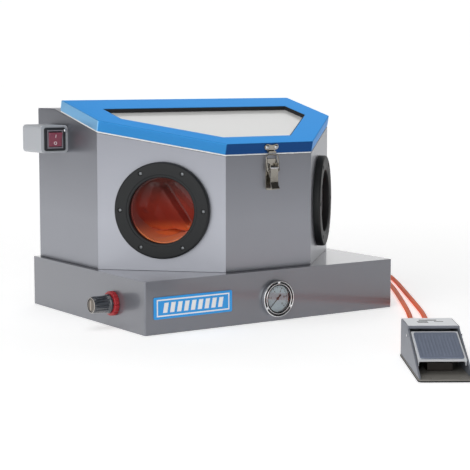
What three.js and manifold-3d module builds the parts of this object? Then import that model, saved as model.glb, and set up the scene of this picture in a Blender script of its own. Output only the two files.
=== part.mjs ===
// A bench-top sandblast cabinet: a low sheet-metal base, a seven-sided cabin with two glove ports,
// a framed window lid hinged at the rear, and an air foot valve joined to the base by two hoses.
// Millimetres. +X is the right-hand side, -Y the front, +Z up. The origin is the centre of the base's footprint.

import * as THREE from "three";
import { mergeVertices } from "three/addons/utils/BufferGeometryUtils.js";
import Module from "manifold-3d";

const wasm = await Module();
wasm.setup();

// ---- driving dimensions -------------------------------------------------------------------------

const GAP = 0.3; // clearance between touching pieces
const SHEET = 2; // folded steel sheet

const BASE = { width: 600, depth: 465, height: 102, corner: 3 };
const HOPPER = { side: 200, front: -90, rear: 190 }; // opening in the base's top, under the cabin

// The cabin's plan: straight sides and rear, a narrow front, and 45 degree faces between them.
// diagonal is x - y on the right-hand 45 degree face.
const CABIN = { side: 286, rear: 227.5, front: -210.5, diagonal: 314 };
const RIM_SLOPE = 0.24;
const RIM_AT_ORIGIN = 379.12; // height of the sloping rim plane at y = 0
const TOP_HEIGHT = 416; // flat strip behind the lid
const BEND_Y = (TOP_HEIGHT - RIM_AT_ORIGIN) / RIM_SLOPE;
const RIM_FLANGE = 20;
const REAR_COVER_FRONT = 106;

const LID = { rear: 128.2, low: 3.3, high: 24.8, recess: 8 };
const WINDOW = { side: 229, rear: 55, front: -164, diagonal: 246 };
const GLASS = 4;
const HINGE = { y: 137, z: 4.2, knuckle: 3.2, bore: 1.8, pin: 1.5, length: 500, knuckles: 11 };

const PORT = { along: 132.8, height: 222, outer: 95, inner: 65, thick: 16, hole: 66 };
const SLEEVE_WALL = 1.6;

const LATCH = { x: 4, pivot: 306, pivotOut: 6.5, loopPivot: 296, loopOut: 8.5, barUp: 329.4 };
const SWITCH = { y: 136.5, z: 356, width: 83, height: 56, depth: 60 };
const REGULATOR = { y: -115, z: 47 };
const GAUGE = { x: 2, z: 45, flange: 36.5, case: 28.4, proud: 11 };
const NAMEPLATE = { x: -193, z: 50, width: 177, height: 42, thick: 1.2 };

const HOSE = { radius: 5, floor: 5.3 };
const HOSE_EXIT = { y: [178, 150], z: 45 };

const PEDAL = { x: -46, y: -753.8, turn: -33, width: 90, length: 220, height: 66, wall: 4 };
const TREADLE = { pivotY: 20, pivotZ: 52, slope: 18.4, front: -92, rear: 4, width: 79, thick: 3, skirt: 8 };
const PLUNGER = { y: -20, radius: 5, valveTop: 18, low: 13.5, high: 39.6, collar: 33 };

// ---- materials ----------------------------------------------------------------------------------

function finish(color, roughness, metalness) {
  return new THREE.MeshStandardMaterial({ color, roughness, metalness });
}

const greyPaint = finish(0x9a9ca1, 0.5, 0.3);
const bluePaint = finish(0x2f86cf, 0.4, 0.1);
const galvanised = finish(0xb4b7b9, 0.5, 0.8);
const blackPlastic = finish(0x26282b, 0.5, 0);
const blackPaint = finish(0x2c2e31, 0.45, 0.2);
const greyPlastic = finish(0xb9bbbe, 0.5, 0);
const redPlastic = finish(0xc23a35, 0.35, 0);
const chrome = finish(0xd8dadd, 0.15, 1);
const brushedSteel = finish(0xb8babd, 0.35, 1);
const brass = finish(0xb5953f, 0.35, 1);
const paleFoam = finish(0xe3e3df, 0.8, 0);
const gloveRubber = finish(0xb04a2c, 0.6, 0);
const whiteEnamel = finish(0xf2f2ef, 0.4, 0);
const clearPane = finish(0xe6e8e8, 0.08, 0);
const castGrey = finish(0xc3c4c9, 0.55, 0.4);
const padRubber = finish(0x5f6878, 0.7, 0);
const hoseOrange = finish(0xea6a45, 0.4, 0);
const ceramic = finish(0xe6dfd0, 0.5, 0);

// ---- making and joining solids ------------------------------------------------------------------

// Position only, shared vertices merged, no degenerate triangles, faces pointing out.
function closed(geometry) {
  const bare = geometry.clone();
  bare.deleteAttribute("normal");
  bare.deleteAttribute("uv");
  const merged = mergeVertices(bare, 1e-4);
  const place = merged.attributes.position;
  const corner = [0, 1, 2].map(() => new THREE.Vector3());
  let faces = [];
  let volume = 0;
  for (let i = 0; i < merged.index.count; i += 3) {
    const ids = [0, 1, 2].map((k) => merged.index.getX(i + k));
    if (new Set(ids).size < 3) continue;
    ids.forEach((id, k) => corner[k].fromBufferAttribute(place, id));
    volume += corner[0].dot(corner[1].clone().cross(corner[2]));
    faces.push(ids);
  }
  if (volume < 0) faces = faces.map(([a, b, c]) => [a, c, b]);
  merged.setIndex(faces.flat());
  return merged;
}

function solid(geometry) {
  const shape = closed(geometry);
  const vertProperties = Float32Array.from(shape.attributes.position.array);
  const triVerts = Uint32Array.from(shape.index.array);
  return new wasm.Manifold(new wasm.Mesh({ numProp: 3, vertProperties, triVerts }));
}

function geometryOf(body) {
  const mesh = body.getMesh();
  const geometry = new THREE.BufferGeometry();
  geometry.setAttribute("position", new THREE.BufferAttribute(mesh.vertProperties, 3));
  geometry.setIndex(Array.from(mesh.triVerts));
  return geometry;
}

function cut(geometry, ...tools) {
  return geometryOf(tools.reduce((body, tool) => body.subtract(solid(tool)), solid(geometry)));
}

function join(first, ...others) {
  return geometryOf(others.reduce((body, other) => body.add(solid(other)), solid(first)));
}

// A block between two opposite corners.
function block([x0, y0, z0], [x1, y1, z1]) {
  const box = new THREE.BoxGeometry(x1 - x0, y1 - y0, z1 - z0);
  return box.translate((x0 + x1) / 2, (y0 + y1) / 2, (z0 + z1) / 2);
}

// A flat outline, raised from z = low to z = high.
function raised(outline, low, high, curveSegments = 2) {
  const options = { depth: high - low, bevelEnabled: false, curveSegments };
  return new THREE.ExtrudeGeometry(outline, options).translate(0, 0, low);
}

// A side profile in (y, z), drawn across from x = left to x = right.
function across(profile, left, right, curveSegments = 4) {
  const turn = new THREE.Matrix4().makeBasis(
    new THREE.Vector3(0, 1, 0),
    new THREE.Vector3(0, 0, 1),
    new THREE.Vector3(1, 0, 0),
  );
  return raised(profile, left, right, curveSegments).applyMatrix4(turn);
}

// A profile of [radius, z] points turned about Z.
function turned(profile, segments = 28) {
  const points = profile.map(([radius, z]) => new THREE.Vector2(radius, z));
  return new THREE.LatheGeometry(points, segments).rotateX(Math.PI / 2);
}

// A ring of [radius, z] corners turned about Z.
function ring(corners, segments = 28) {
  return turned([...corners, corners[0]], segments);
}

function rod(radius, low, high, segments = 20) {
  return turned([[0, low], [radius, low], [radius, high], [0, high]], segments);
}

function polygon(points) {
  return new THREE.Shape(points.map(([x, y]) => new THREE.Vector2(x, y)));
}

function roundedRect(width, height, radius, x = 0, y = 0) {
  const shape = new THREE.Shape();
  const [w, h] = [width / 2 - radius, height / 2 - radius];
  shape.absarc(x + w, y + h, radius, 0, Math.PI / 2);
  shape.absarc(x - w, y + h, radius, Math.PI / 2, Math.PI);
  shape.absarc(x - w, y - h, radius, Math.PI, Math.PI * 1.5);
  shape.absarc(x + w, y - h, radius, Math.PI * 1.5, Math.PI * 2);
  return shape;
}

// The cabin's plan outline, or one like it; stretch scales y for the sloping rim plane.
function plan({ side, rear, front, diagonal }, stretch = 1) {
  const right = [[side, rear], [diagonal + front, front], [side, side - diagonal]];
  const [back, nose, shoulder] = right.map(([x, y]) => [x, y * stretch]);
  const mirror = ([x, y]) => [-x, y];
  return polygon([back, mirror(back), mirror(shoulder), mirror(nose), nose, shoulder]);
}

function grow(outline, by) {
  return {
    side: outline.side + by,
    rear: outline.rear + by,
    front: outline.front - by,
    diagonal: outline.diagonal + by * Math.SQRT2,
  };
}

function withHole(outline, hole) {
  outline.holes.push(hole);
  return outline;
}

// ---- placing ------------------------------------------------------------------------------------

const group = new THREE.Group();

function add(parent, name, geometry, material) {
  const mesh = new THREE.Mesh(closed(geometry), material);
  mesh.name = name;
  parent.add(mesh);
  return mesh;
}

// A group whose +Z points out of a panel and whose +Y is up.
function facing(x, y, z, out) {
  const frame = new THREE.Group();
  const outward = new THREE.Vector3(...out).normalize();
  const up = new THREE.Vector3(0, 0, 1);
  const right = up.clone().cross(outward);
  frame.quaternion.setFromRotationMatrix(new THREE.Matrix4().makeBasis(right, up, outward));
  frame.position.set(x, y, z);
  group.add(frame);
  return frame;
}

// ---- base ---------------------------------------------------------------------------------------

function holeThrough(frame, radius, depth = 10) {
  frame.updateMatrix();
  return rod(radius, -depth, depth, 24).applyMatrix4(frame.matrix);
}

const regulatorFrame = facing(-BASE.width / 2, REGULATOR.y, REGULATOR.z, [-1, 0, 0]);
const gaugeFrame = facing(GAUGE.x, -BASE.depth / 2, GAUGE.z, [0, -1, 0]);
const inletFrame = facing(-215, BASE.depth / 2, 45, [0, 1, 0]);
const hoseFrames = HOSE_EXIT.y.map((y) => facing(BASE.width / 2, y, HOSE_EXIT.z, [1, 0, 0]));

function makeBase() {
  const { width, depth, height, corner } = BASE;
  const outer = raised(roundedRect(width, depth, corner), 0, height);
  const inside = block(
    [-width / 2 + SHEET, -depth / 2 + SHEET, -1],
    [width / 2 - SHEET, depth / 2 - SHEET, height - SHEET],
  );
  const hopper = block([-HOPPER.side, HOPPER.front, 50], [HOPPER.side, HOPPER.rear, height + 1]);
  const shell = cut(
    outer,
    inside,
    hopper,
    holeThrough(regulatorFrame, 15.3),
    holeThrough(gaugeFrame, GAUGE.case + GAP),
    holeThrough(inletFrame, 7.3),
    ...hoseFrames.map((frame) => holeThrough(frame, 6.3)),
  );
  add(group, "base_shell", shell, greyPaint);

  const edge = SHEET + GAP;
  const floor = block(
    [-width / 2 + edge, -depth / 2 + edge, 0],
    [width / 2 - edge, depth / 2 - edge, SHEET],
  );
  add(group, "base_floor_plate", floor, galvanised);

  const wall = 1.5;
  const rim = 5;
  const low = SHEET + GAP;
  const pan = cut(
    block([-HOPPER.side - rim, HOPPER.front - rim, low], [HOPPER.side + rim, HOPPER.rear + rim, 72]),
    block(
      [-HOPPER.side - rim + wall, HOPPER.front - rim + wall, low + wall],
      [HOPPER.side + rim - wall, HOPPER.rear + rim - wall, 80],
    ),
  );
  add(group, "media_pan", pan, galvanised);
}

function makeGrate() {
  const lip = 10;
  const pitch = 20;
  const slot = 12;
  const { side, front, rear } = HOPPER;
  const outline = polygon([
    [-side - lip, front - lip],
    [side + lip, front - lip],
    [side + lip, rear + lip],
    [-side - lip, rear + lip],
  ]);
  const middle = (front + rear) / 2;
  for (let x = -side + pitch / 2; x < side; x += pitch) {
    outline.holes.push(roundedRect(slot, rear - front - lip, slot / 2, x, middle));
  }
  const low = BASE.height + GAP;
  add(group, "work_grate", raised(outline, low, low + 3, 1), galvanised);
}

// ---- cabin --------------------------------------------------------------------------------------

const slopeAngle = Math.atan(RIM_SLOPE);
const stretch = 1 / Math.cos(slopeAngle);

// Everything that lies on the sloping rim is drawn flat here: z = 0 is the rim, y runs up the slope.
const rimPlane = new THREE.Group();
rimPlane.position.z = RIM_AT_ORIGIN;
rimPlane.rotation.x = slopeAngle;
rimPlane.updateMatrix();
group.add(rimPlane);

function onRim(geometry) {
  return geometry.applyMatrix4(rimPlane.matrix);
}

const wallMiddle = CABIN.diagonal - CABIN.side;
const portX = CABIN.side - PORT.along / Math.SQRT2;
const portY = -wallMiddle - PORT.along / Math.SQRT2;
const ports = [-1, 1].map((side) => facing(side * portX, portY, PORT.height, [side, -1, 0]));
const dustFrame = facing(150, CABIN.rear, 300, [0, 1, 0]);

function makeCabin() {
  const low = BASE.height + GAP;
  const wide = 400;
  const lowered = SHEET + GAP;
  const space = plan(grow(CABIN, -SHEET));
  const aboveSlope = (drop, from) => onRim(block([-wide, from, -drop], [wide, wide, wide]));
  const inner = cut(
    raised(space, low - 20, 500),
    aboveSlope(SHEET, -wide),
  );
  const rearSpace = cut(
    raised(space, low - 20, 500),
    block([-wide, -wide, 0], [wide, REAR_COVER_FRONT - GAP, 600]),
  );
  const opening = raised(
    plan({ ...grow(CABIN, -RIM_FLANGE - SHEET), rear: 90 }),
    low,
    500,
  );
  const shell = cut(
    raised(plan(CABIN), low, 500),
    aboveSlope(0, -wide),
    aboveSlope(lowered, (REAR_COVER_FRONT - 3 * GAP) * stretch),
    block([-wide, REAR_COVER_FRONT, TOP_HEIGHT - lowered], [wide, wide, 600]),
    inner,
    rearSpace,
    opening,
    ...ports.map((frame) => holeThrough(frame, PORT.hole)),
    holeThrough(dustFrame, 27),
  );
  add(group, "cabin_shell", shell, greyPaint);

  const rimHeight = (y) => RIM_AT_ORIGIN + RIM_SLOPE * y;
  const under = SHEET * stretch;
  const bent = polygon([
    [REAR_COVER_FRONT, rimHeight(REAR_COVER_FRONT)],
    [REAR_COVER_FRONT, rimHeight(REAR_COVER_FRONT) - under],
    [BEND_Y, TOP_HEIGHT - under],
    [CABIN.rear, TOP_HEIGHT - under],
    [CABIN.rear, TOP_HEIGHT],
    [BEND_Y, TOP_HEIGHT],
  ]);
  add(group, "rear_top_cover", across(bent, -CABIN.side, CABIN.side), greyPaint);

  const lidPlan = { ...CABIN, rear: LID.rear };
  const gasket = withHole(plan(grow(lidPlan, -1), stretch), plan(grow(lidPlan, -13), stretch));
  add(rimPlane, "rim_gasket", raised(gasket, GAP, LID.low - GAP), paleFoam);
}

// ---- glove ports --------------------------------------------------------------------------------

// Outwards is +Z in a port's own frame, with z = 0 on the cabin wall's outer face.
function makePort(frame, side) {
  const { outer, inner, thick } = PORT;
  const front = thick + GAP;
  const ringPiece = ring([
    [inner, GAP],
    [outer, GAP],
    [outer, front - 4],
    [outer - 1.2, front - 1.2],
    [outer - 4, front],
    [inner + 2, front],
    [inner, front - 2],
  ], 36);
  add(frame, side + "_port_ring", ringPiece, blackPaint);

  const back = -SHEET - GAP;
  const sleeve = [[64, back - 1.5], [62, -40], [58, -80], [50, -125], [44, -170], [40, -205], [26, -228]];
  const tip = -238;
  const glove = turned([
    [0, tip],
    ...sleeve.toReversed(),
    [88, back - 1.5],
    [88, back],
    ...sleeve.map(([radius, z], i) => [radius - SLEEVE_WALL, i === 0 ? back : z]),
    [0, tip + SLEEVE_WALL],
  ], 22);
  add(frame, side + "_glove", glove, gloveRubber);

  const clampTop = back - 1.5 - GAP;
  const clamp = ring([[67, clampTop - 3], [90, clampTop - 3], [90, clampTop], [67, clampTop]], 24);
  add(frame, side + "_glove_clamp", clamp, galvanised);
}

// ---- lid ----------------------------------------------------------------------------------------

function makeLid() {
  const outline = { ...CABIN, rear: LID.rear };
  const high = LID.high;
  const top = high - SHEET;
  const flangeLow = high - LID.recess;
  const tray = cut(
    raised(plan(outline, stretch), LID.low, high),
    raised(plan(grow(outline, -SHEET), stretch), 0, top),
  );
  const inner = raised(plan(grow(WINDOW, SHEET), stretch), flangeLow, top + 1);
  const frame = cut(join(tray, inner), raised(plan(WINDOW, stretch), 0, high + 5));
  add(rimPlane, "lid_frame", frame, bluePaint);

  const glassTop = flangeLow - GAP;
  const glassLow = glassTop - GLASS;
  const glass = raised(plan(grow(WINDOW, 10), stretch), glassLow, glassTop);
  add(rimPlane, "window_glass", glass, clearPane);

  const frameTop = glassLow - GAP;
  const strips = withHole(plan(grow(WINDOW, 16), stretch), plan(grow(WINDOW, -3), stretch));
  add(rimPlane, "window_retainer", raised(strips, frameTop - 3, frameTop), blackPaint);
}

// A long butt hinge. Its knuckles take turns between the leaf on the lid and the leaf on the cabin.
function makeHinge() {
  const pitch = HINGE.length / HINGE.knuckles;
  const leafPlate = 1.2;
  const flangeFace = LID.rear * stretch + GAP;
  const tube = (i) => {
    const x = -HINGE.length / 2 + i * pitch;
    const hollow = ring([
      [HINGE.bore, x + GAP],
      [HINGE.knuckle, x + GAP],
      [HINGE.knuckle, x + pitch - GAP],
      [HINGE.bore, x + pitch - GAP],
    ], 12);
    return hollow.rotateY(Math.PI / 2).translate(0, HINGE.y, HINGE.z);
  };
  const web = (i, low, high) => {
    const x = -HINGE.length / 2 + i * pitch;
    return block([x + GAP, ...low], [x + pitch - GAP, ...high]);
  };
  const even = Array.from({ length: Math.ceil(HINGE.knuckles / 2) }, (_, i) => 2 * i);
  const odd = Array.from({ length: Math.floor(HINGE.knuckles / 2) }, (_, i) => 2 * i + 1);
  const half = HINGE.length / 2;

  const cabinLeaf = block([-half + GAP, HINGE.y + 4, GAP], [half - GAP, HINGE.y + 18, GAP + leafPlate]);
  const cabinWebs = even.map((i) => web(i, [HINGE.y + 2, GAP], [HINGE.y + 5, GAP + 2.4]));
  add(rimPlane, "hinge_leaf_cabin", join(cabinLeaf, ...cabinWebs, ...even.map(tube)), brushedSteel);

  const lidLeaf = block([-half + GAP, flangeFace, 8.5], [half - GAP, flangeFace + leafPlate, 20]);
  const lidWebs = odd.map((i) => web(i, [flangeFace, 5], [flangeFace + 2.8, 9]));
  add(rimPlane, "hinge_leaf_lid", join(lidLeaf, ...lidWebs, ...odd.map(tube)), brushedSteel);

  const pin = rod(HINGE.pin, -half - 1, half + 1, 12).rotateY(Math.PI / 2);
  add(rimPlane, "hinge_pin", pin.translate(0, HINGE.y, HINGE.z), brushedSteel);
}

// ---- toggle latch -------------------------------------------------------------------------------

function makeLatch() {
  const frame = facing(LATCH.x, CABIN.front, 0, [0, -1, 0]);
  const { pivot, pivotOut, loopPivot, loopOut, barUp } = LATCH;
  const plate = 1.5;
  const plateTop = GAP + plate;
  const backPlate = raised(roundedRect(27, 62, 5, 0, 290), GAP, plateTop);
  const boss = polygon([[-6.5, 0], [-6.5, pivotOut], [-4, 5 + pivotOut], [4, 5 + pivotOut], [6.5, pivotOut], [6.5, 0]]);
  const ears = [-11, 9.5].map((x) => {
    const ear = raised(boss, 0, 1.5).rotateX(Math.PI / 2).rotateZ(Math.PI / 2);
    return ear.translate(x, pivot, GAP + 0.5);
  });
  const pinHole = rod(1.9, -20, 20, 14).rotateY(Math.PI / 2).translate(0, pivot, pivotOut);
  add(frame, "latch_base_plate", cut(join(backPlate, ...ears), pinHole), chrome);

  // The lever, closed: it hangs down from its pivot and its end curls away from the cabin.
  const face = new THREE.Shape();
  face.moveTo(10.5, pivot - 2);
  face.lineTo(10.5, 276);
  face.quadraticCurveTo(10.5, 266, 16.5, 261);
  face.lineTo(18, 262.8);
  face.quadraticCurveTo(12.3, 268, 12.3, 276);
  face.lineTo(12.3, pivot - 2);
  face.closePath();
  const cheek = polygon([
    [3.4, pivot - 14],
    [3.4, pivot + 2.5],
    [6.5, pivot + 4],
    [9.5, pivot + 3],
    [11.5, pivot - 2],
    [11.5, 280],
  ]);
  const leverSheet = (shape, left, right) => {
    const turn = new THREE.Matrix4().makeBasis(
      new THREE.Vector3(0, 0, 1),
      new THREE.Vector3(0, 1, 0),
      new THREE.Vector3(-1, 0, 0),
    );
    return raised(shape, left, right).applyMatrix4(turn);
  };
  const pin = rod(1.5, -12, 12, 14).rotateY(Math.PI / 2).translate(0, pivot, pivotOut);
  const lever = join(
    leverSheet(face, -9, 9),
    leverSheet(cheek, -9, -7.5),
    leverSheet(cheek, 7.5, 9),
    pin,
  );
  add(frame, "latch_lever", lever, chrome);

  // The wire loop: up one side, across under the keeper, down the other, with its ends turned in.
  const wire = 1.4;
  const half = 14;
  const bend = 4;
  const corners = [
    [10.2, loopPivot],
    [half - 1.5, loopPivot],
    [half, loopPivot + 1.5],
    [half, barUp - bend],
    [half - bend, barUp],
  ];
  const out = (y) => loopOut - (loopOut - 3.6) * Math.max(0, (y - loopPivot) / (barUp - loopPivot));
  const rightSide = corners.map(([x, y]) => new THREE.Vector3(x, y, out(y)));
  const leftSide = corners.toReversed().map(([x, y]) => new THREE.Vector3(-x, y, out(y)));
  const stops = [...rightSide, ...leftSide];
  const loop = stops.slice(1).map((stop, i) => {
    const start = stops[i];
    const along = stop.clone().sub(start);
    const piece = rod(wire, -0.7, along.length() + 0.7, 8);
    const spin = new THREE.Quaternion().setFromUnitVectors(new THREE.Vector3(0, 0, 1), along.normalize());
    return piece.applyQuaternion(spin).translate(start.x, start.y, start.z);
  });
  add(frame, "latch_loop", join(...loop), chrome);

  // The keeper on the lid's front flange, with a hooked lip along its lower edge.
  const keeperFrame = new THREE.Group();
  keeperFrame.position.set(LATCH.x - 2, CABIN.front * stretch, 0);
  rimPlane.add(keeperFrame);
  const keeper = across(
    polygon([
      [-GAP, 5.5],
      [-6.5, 5.5],
      [-6.5, 9.5],
      [-5, 9.5],
      [-5, 7],
      [-GAP - 1.5, 7],
      [-GAP - 1.5, 22.5],
      [-GAP, 22.5],
    ]),
    -17,
    17,
  );
  add(keeperFrame, "latch_keeper", keeper, chrome);
}

// ---- lamp switch --------------------------------------------------------------------------------

function makeSwitch() {
  const { y, z, width, height, depth } = SWITCH;
  const frontY = y - width / 2;
  const wallX = -CABIN.side - GAP;
  const middleX = wallX - depth / 2;
  const frame = facing(middleX, frontY, z, [0, -1, 0]);
  const mouth = 33;
  const body = raised(roundedRect(depth, height, 7), -width, 0);
  const hollow = raised(roundedRect(depth - 5, height - 5, 5), -width + 2.5, -2.5);
  const opening = block([-mouth / 2, -mouth / 2, -5], [mouth / 2, mouth / 2, 1]);
  const cableHole = rod(5, -60, -10, 14).rotateY(Math.PI / 2).translate(68, 0, -55);
  add(frame, "switch_box", cut(body, hollow, opening, cableHole), greyPlastic);

  const inside = 31.4;
  const bezelFace = raised(roundedRect(47, 47, 4), GAP, 3.3);
  const collar = raised(roundedRect(mouth - 0.6, mouth - 0.6, 1), -12, 1, 1);
  const window = block([-14.9, -inside / 2, -20], [14.9, inside / 2, 10]);
  add(frame, "switch_bezel", cut(join(bezelFace, collar), window), blackPlastic);

  // The rocker turns about its own X axis, a little behind the bezel's face. It rests tipped one way.
  const tip = THREE.MathUtils.degToRad(10);
  const profile = new THREE.Shape();
  profile.moveTo(-14.3, -1);
  profile.absarc(0, -1, 14.3, Math.PI, 2 * Math.PI);
  profile.lineTo(14.3, 4.6);
  profile.lineTo(0, 2.6);
  profile.lineTo(-14.3, 4.6);
  profile.closePath();
  const turn = new THREE.Matrix4().makeBasis(
    new THREE.Vector3(0, 1, 0),
    new THREE.Vector3(0, 0, 1),
    new THREE.Vector3(1, 0, 0),
  );
  const rocker = raised(profile, -14.5, 14.5, 6).applyMatrix4(turn).rotateX(tip);
  add(frame, "switch_rocker", rocker.translate(0, 0, 2), redPlastic);
}

// ---- air regulator ------------------------------------------------------------------------------

function makeRegulator() {
  const body = turned([
    [0, -62],
    [16, -62],
    [21, -58],
    [21, -SHEET - 1],
    [15, -SHEET - 1],
    [15, 15],
    [13.5, 16],
    [4.3, 16],
    [4.3, -20],
    [0, -20],
  ], 24);
  add(regulatorFrame, "regulator_body", body, castGrey);

  const nut = new THREE.Shape();
  const ribs = 28;
  for (let i = 0; i < ribs * 2; i += 1) {
    const angle = (i / (ribs * 2)) * 2 * Math.PI;
    const radius = i % 2 ? 24 : 22.8;
    const point = [radius * Math.cos(angle), radius * Math.sin(angle)];
    if (i === 0) nut.moveTo(...point);
    else nut.lineTo(...point);
  }
  nut.closePath();
  const bore = new THREE.Path();
  bore.absarc(0, 0, 15.3, 0, 2 * Math.PI);
  nut.holes.push(bore);
  add(regulatorFrame, "regulator_ring_nut", raised(nut, GAP, 11, 12), redPlastic);

  const spindle = turned([[0, -16], [4, -16], [4, 30], [2.5, 32], [0, 32]], 16);
  add(regulatorFrame, "regulator_spindle", spindle, brass);

  const knob = turned([
    [0, 51],
    [13, 51],
    [16, 48.5],
    [17, 40],
    [17, 17],
    [19, 15],
    [19, 11.6],
    [15.8, 11.6],
    [15.8, 24],
    [4.3, 24],
    [4.3, 38],
    [0, 38],
  ], 28);
  add(regulatorFrame, "regulator_knob", knob, blackPlastic);
}

// ---- pressure gauge -----------------------------------------------------------------------------

function makeGauge() {
  const { flange, case: radius, proud } = GAUGE;
  const dialTop = 4;
  const cup = turned([
    [0, -32],
    [22, -32],
    [radius, -28],
    [radius, proud - 1],
    [radius - 1.5, proud - 1],
    [radius - 1.5, dialTop - 1.5],
    [0, dialTop - 1.5],
  ], 32);
  const stem = rod(6, -44, -30, 16);
  add(gaugeFrame, "gauge_case", join(cup, stem), blackPaint);

  const bezel = ring([
    [radius + GAP, GAP],
    [flange, GAP],
    [flange, proud - 1.5],
    [flange - 1.5, proud],
    [flange - 2.6, proud],
    [flange - 2.6, proud - 5],
    [radius + 2.2, proud - 5],
    [radius + 2.2, proud],
    [radius + GAP, proud],
  ], 36);
  add(gaugeFrame, "gauge_bezel", bezel, chrome);

  const dial = ring([
    [1.4, dialTop - 1.2],
    [radius - 1.8, dialTop - 1.2],
    [radius - 1.8, dialTop - 0.2],
    [1.4, dialTop - 0.2],
  ], 28);
  add(gaugeFrame, "gauge_dial", dial, whiteEnamel);

  // The needle points at zero, down to the left; its short tail points up to the right.
  const blade = polygon([[-20, 0], [-3, 1.1], [9, 1.6], [10, 0], [9, -1.6], [-3, -1.1]]);
  const zero = THREE.MathUtils.degToRad(45);
  const needle = join(
    raised(blade, dialTop + 0.4, dialTop + 1.1),
    rod(2.6, dialTop + 0.2, dialTop + 2, 14),
    rod(1, dialTop - 1.1, dialTop + 1, 10),
  );
  add(gaugeFrame, "gauge_needle", needle.rotateZ(zero), blackPlastic);

  add(gaugeFrame, "gauge_lens", rod(radius - 1.8, proud - 3, proud - 1.5, 28), clearPane);
}

// ---- small fixed pieces -------------------------------------------------------------------------

function makeNameplate() {
  const { x, z, width, height, thick } = NAMEPLATE;
  const frame = facing(x, -BASE.depth / 2, z, [0, -1, 0]);
  add(frame, "nameplate", raised(roundedRect(width, height, 3), GAP, GAP + thick), bluePaint);
}

function makeLamp() {
  const low = 388;
  const high = TOP_HEIGHT - SHEET * stretch - GAP;
  const housing = cut(
    block([-115, 172, low], [115, 212, high]),
    block([-113, 174, low - 1], [113, 210, high - 2]),
  );
  add(group, "lamp_housing", housing, greyPlastic);
  add(group, "lamp_lens", block([-112.5, 174.5, low + 1], [112.5, 209.5, low + 6]), clearPane);
}

function makeBlastGun() {
  const wall = CABIN.rear - SHEET - GAP;
  const bracket = join(
    block([-22, wall - 3, 215], [22, wall, 300]),
    block([-22, wall - 42, 297], [22, wall, 300]),
  );
  const clearance = rod(9.3, 280, 320, 20).translate(0, wall - 24, 0);
  add(group, "nozzle_bracket", cut(bracket, clearance), galvanised);

  const gun = turned([
    [0, 322],
    [6, 322],
    [9, 318],
    [9, 306],
    [13, 306],
    [13, 300 + GAP],
    [9, 300 + GAP],
    [9, 255],
    [6.3, 252],
    [6.3, 262],
    [0, 262],
  ], 20);
  add(group, "blast_gun_body", gun.translate(0, wall - 24, 0), brushedSteel);

  const nozzle = ring([[2.5, 222], [4.5, 222], [6, 230], [6, 261], [2.5, 261]], 16);
  add(group, "blast_nozzle", nozzle.translate(0, wall - 24, 0), ceramic);
}

function makeRearPieces() {
  const inlet = turned([
    [0, -20],
    [7, -20],
    [7, GAP],
    [11, GAP],
    [11, 9],
    [6, 10],
    [6, 22],
    [4.5, 24],
    [4.5, 30],
    [6, 31],
    [6, 36],
    [4, 38],
    [2.5, 38],
    [2.5, 4],
    [0, 4],
  ], 14);
  add(inletFrame, "air_inlet", inlet, brass);

  const collar = ring([
    [25, -14],
    [26.6, -14],
    [26.6, GAP],
    [38, GAP],
    [38, 3],
    [30, 3],
    [30, 45],
    [27.5, 45],
    [25, 42],
  ], 28);
  add(dustFrame, "dust_outlet", collar, blackPlastic);
}

// A push-in fitting: hexagon body and a release collar, the tube ending against its shoulder.
const FITTING_OUT = 24;

function makeFitting(frame, name, stem) {
  const body = turned([
    [0, -stem],
    [5, -stem],
    [6, -stem + 1],
    [6, GAP],
    [10, GAP],
    [10, 8],
    [8, 9],
    [8, 20],
    [6.6, 20.5],
    [6.6, FITTING_OUT],
    [0, FITTING_OUT],
  ], 14);
  add(frame, name, body, blackPlastic);
}

// ---- foot valve ---------------------------------------------------------------------------------

const pedal = new THREE.Group();
pedal.position.set(PEDAL.x, PEDAL.y, 0);
pedal.rotation.z = THREE.MathUtils.degToRad(PEDAL.turn);
group.add(pedal);

const PEDAL_FITTING = { x: 14, z: 15 };

function makePedal() {
  const { width, length, height, wall } = PEDAL;
  const rear = length / 2;
  const plate = 4;
  const footprint = roundedRect(width, length, 7);
  for (const [x, y] of [[-24, -99], [24, -99], [-33, -86], [33, -86]]) {
    const hole = new THREE.Path();
    hole.absarc(x, y, 3.2, 0, 2 * Math.PI);
    footprint.holes.push(hole);
  }
  add(pedal, "pedal_base_plate", raised(footprint, 0, plate, 3), padRubber);

  const low = plate + GAP;
  const side = polygon([
    [rear - 2, low],
    [rear - 2, height - 4],
    [rear - 6, height],
    [28, height],
    [26, height - 4],
    [-102, 9],
    [-107, low],
  ]);
  const clear = width / 2 - wall;
  const coverFront = 28;
  const rearHole = (x) => rod(6.3, -20, 20, 16).rotateX(Math.PI / 2).translate(x, rear - 2, PEDAL_FITTING.z);
  const pinHole = rod(2.9, -60, 60, 16).rotateY(Math.PI / 2).translate(0, TREADLE.pivotY, TREADLE.pivotZ);
  const housing = cut(
    across(side, -width / 2 + 1, width / 2 - 1),
    block([-clear, -length, 0], [clear, rear - 2 - wall, height - wall]),
    block([-clear, -length, 0], [clear, coverFront, height + 5]),
    rearHole(-PEDAL_FITTING.x),
    rearHole(PEDAL_FITTING.x),
    pinHole,
  );
  add(pedal, "pedal_housing", housing, castGrey);

  const pin = rod(2.5, -47, 47, 16).rotateY(Math.PI / 2);
  add(pedal, "pedal_pivot_pin", pin.translate(0, TREADLE.pivotY, TREADLE.pivotZ), brushedSteel);
  const stud = rod(2, width / 2 - 1 + GAP, width / 2 + 9, 12).rotateY(Math.PI / 2);
  add(pedal, "pedal_lock_stud", stud.translate(0, -60, 15), brushedSteel);

  for (const [i, x] of [PEDAL_FITTING.x, -PEDAL_FITTING.x].entries()) {
    const frame = new THREE.Group();
    frame.position.set(x, rear - 2, PEDAL_FITTING.z);
    frame.rotation.x = -Math.PI / 2;
    pedal.add(frame);
    makeFitting(frame, "pedal_fitting_" + (i + 1), 8);
  }
}

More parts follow.
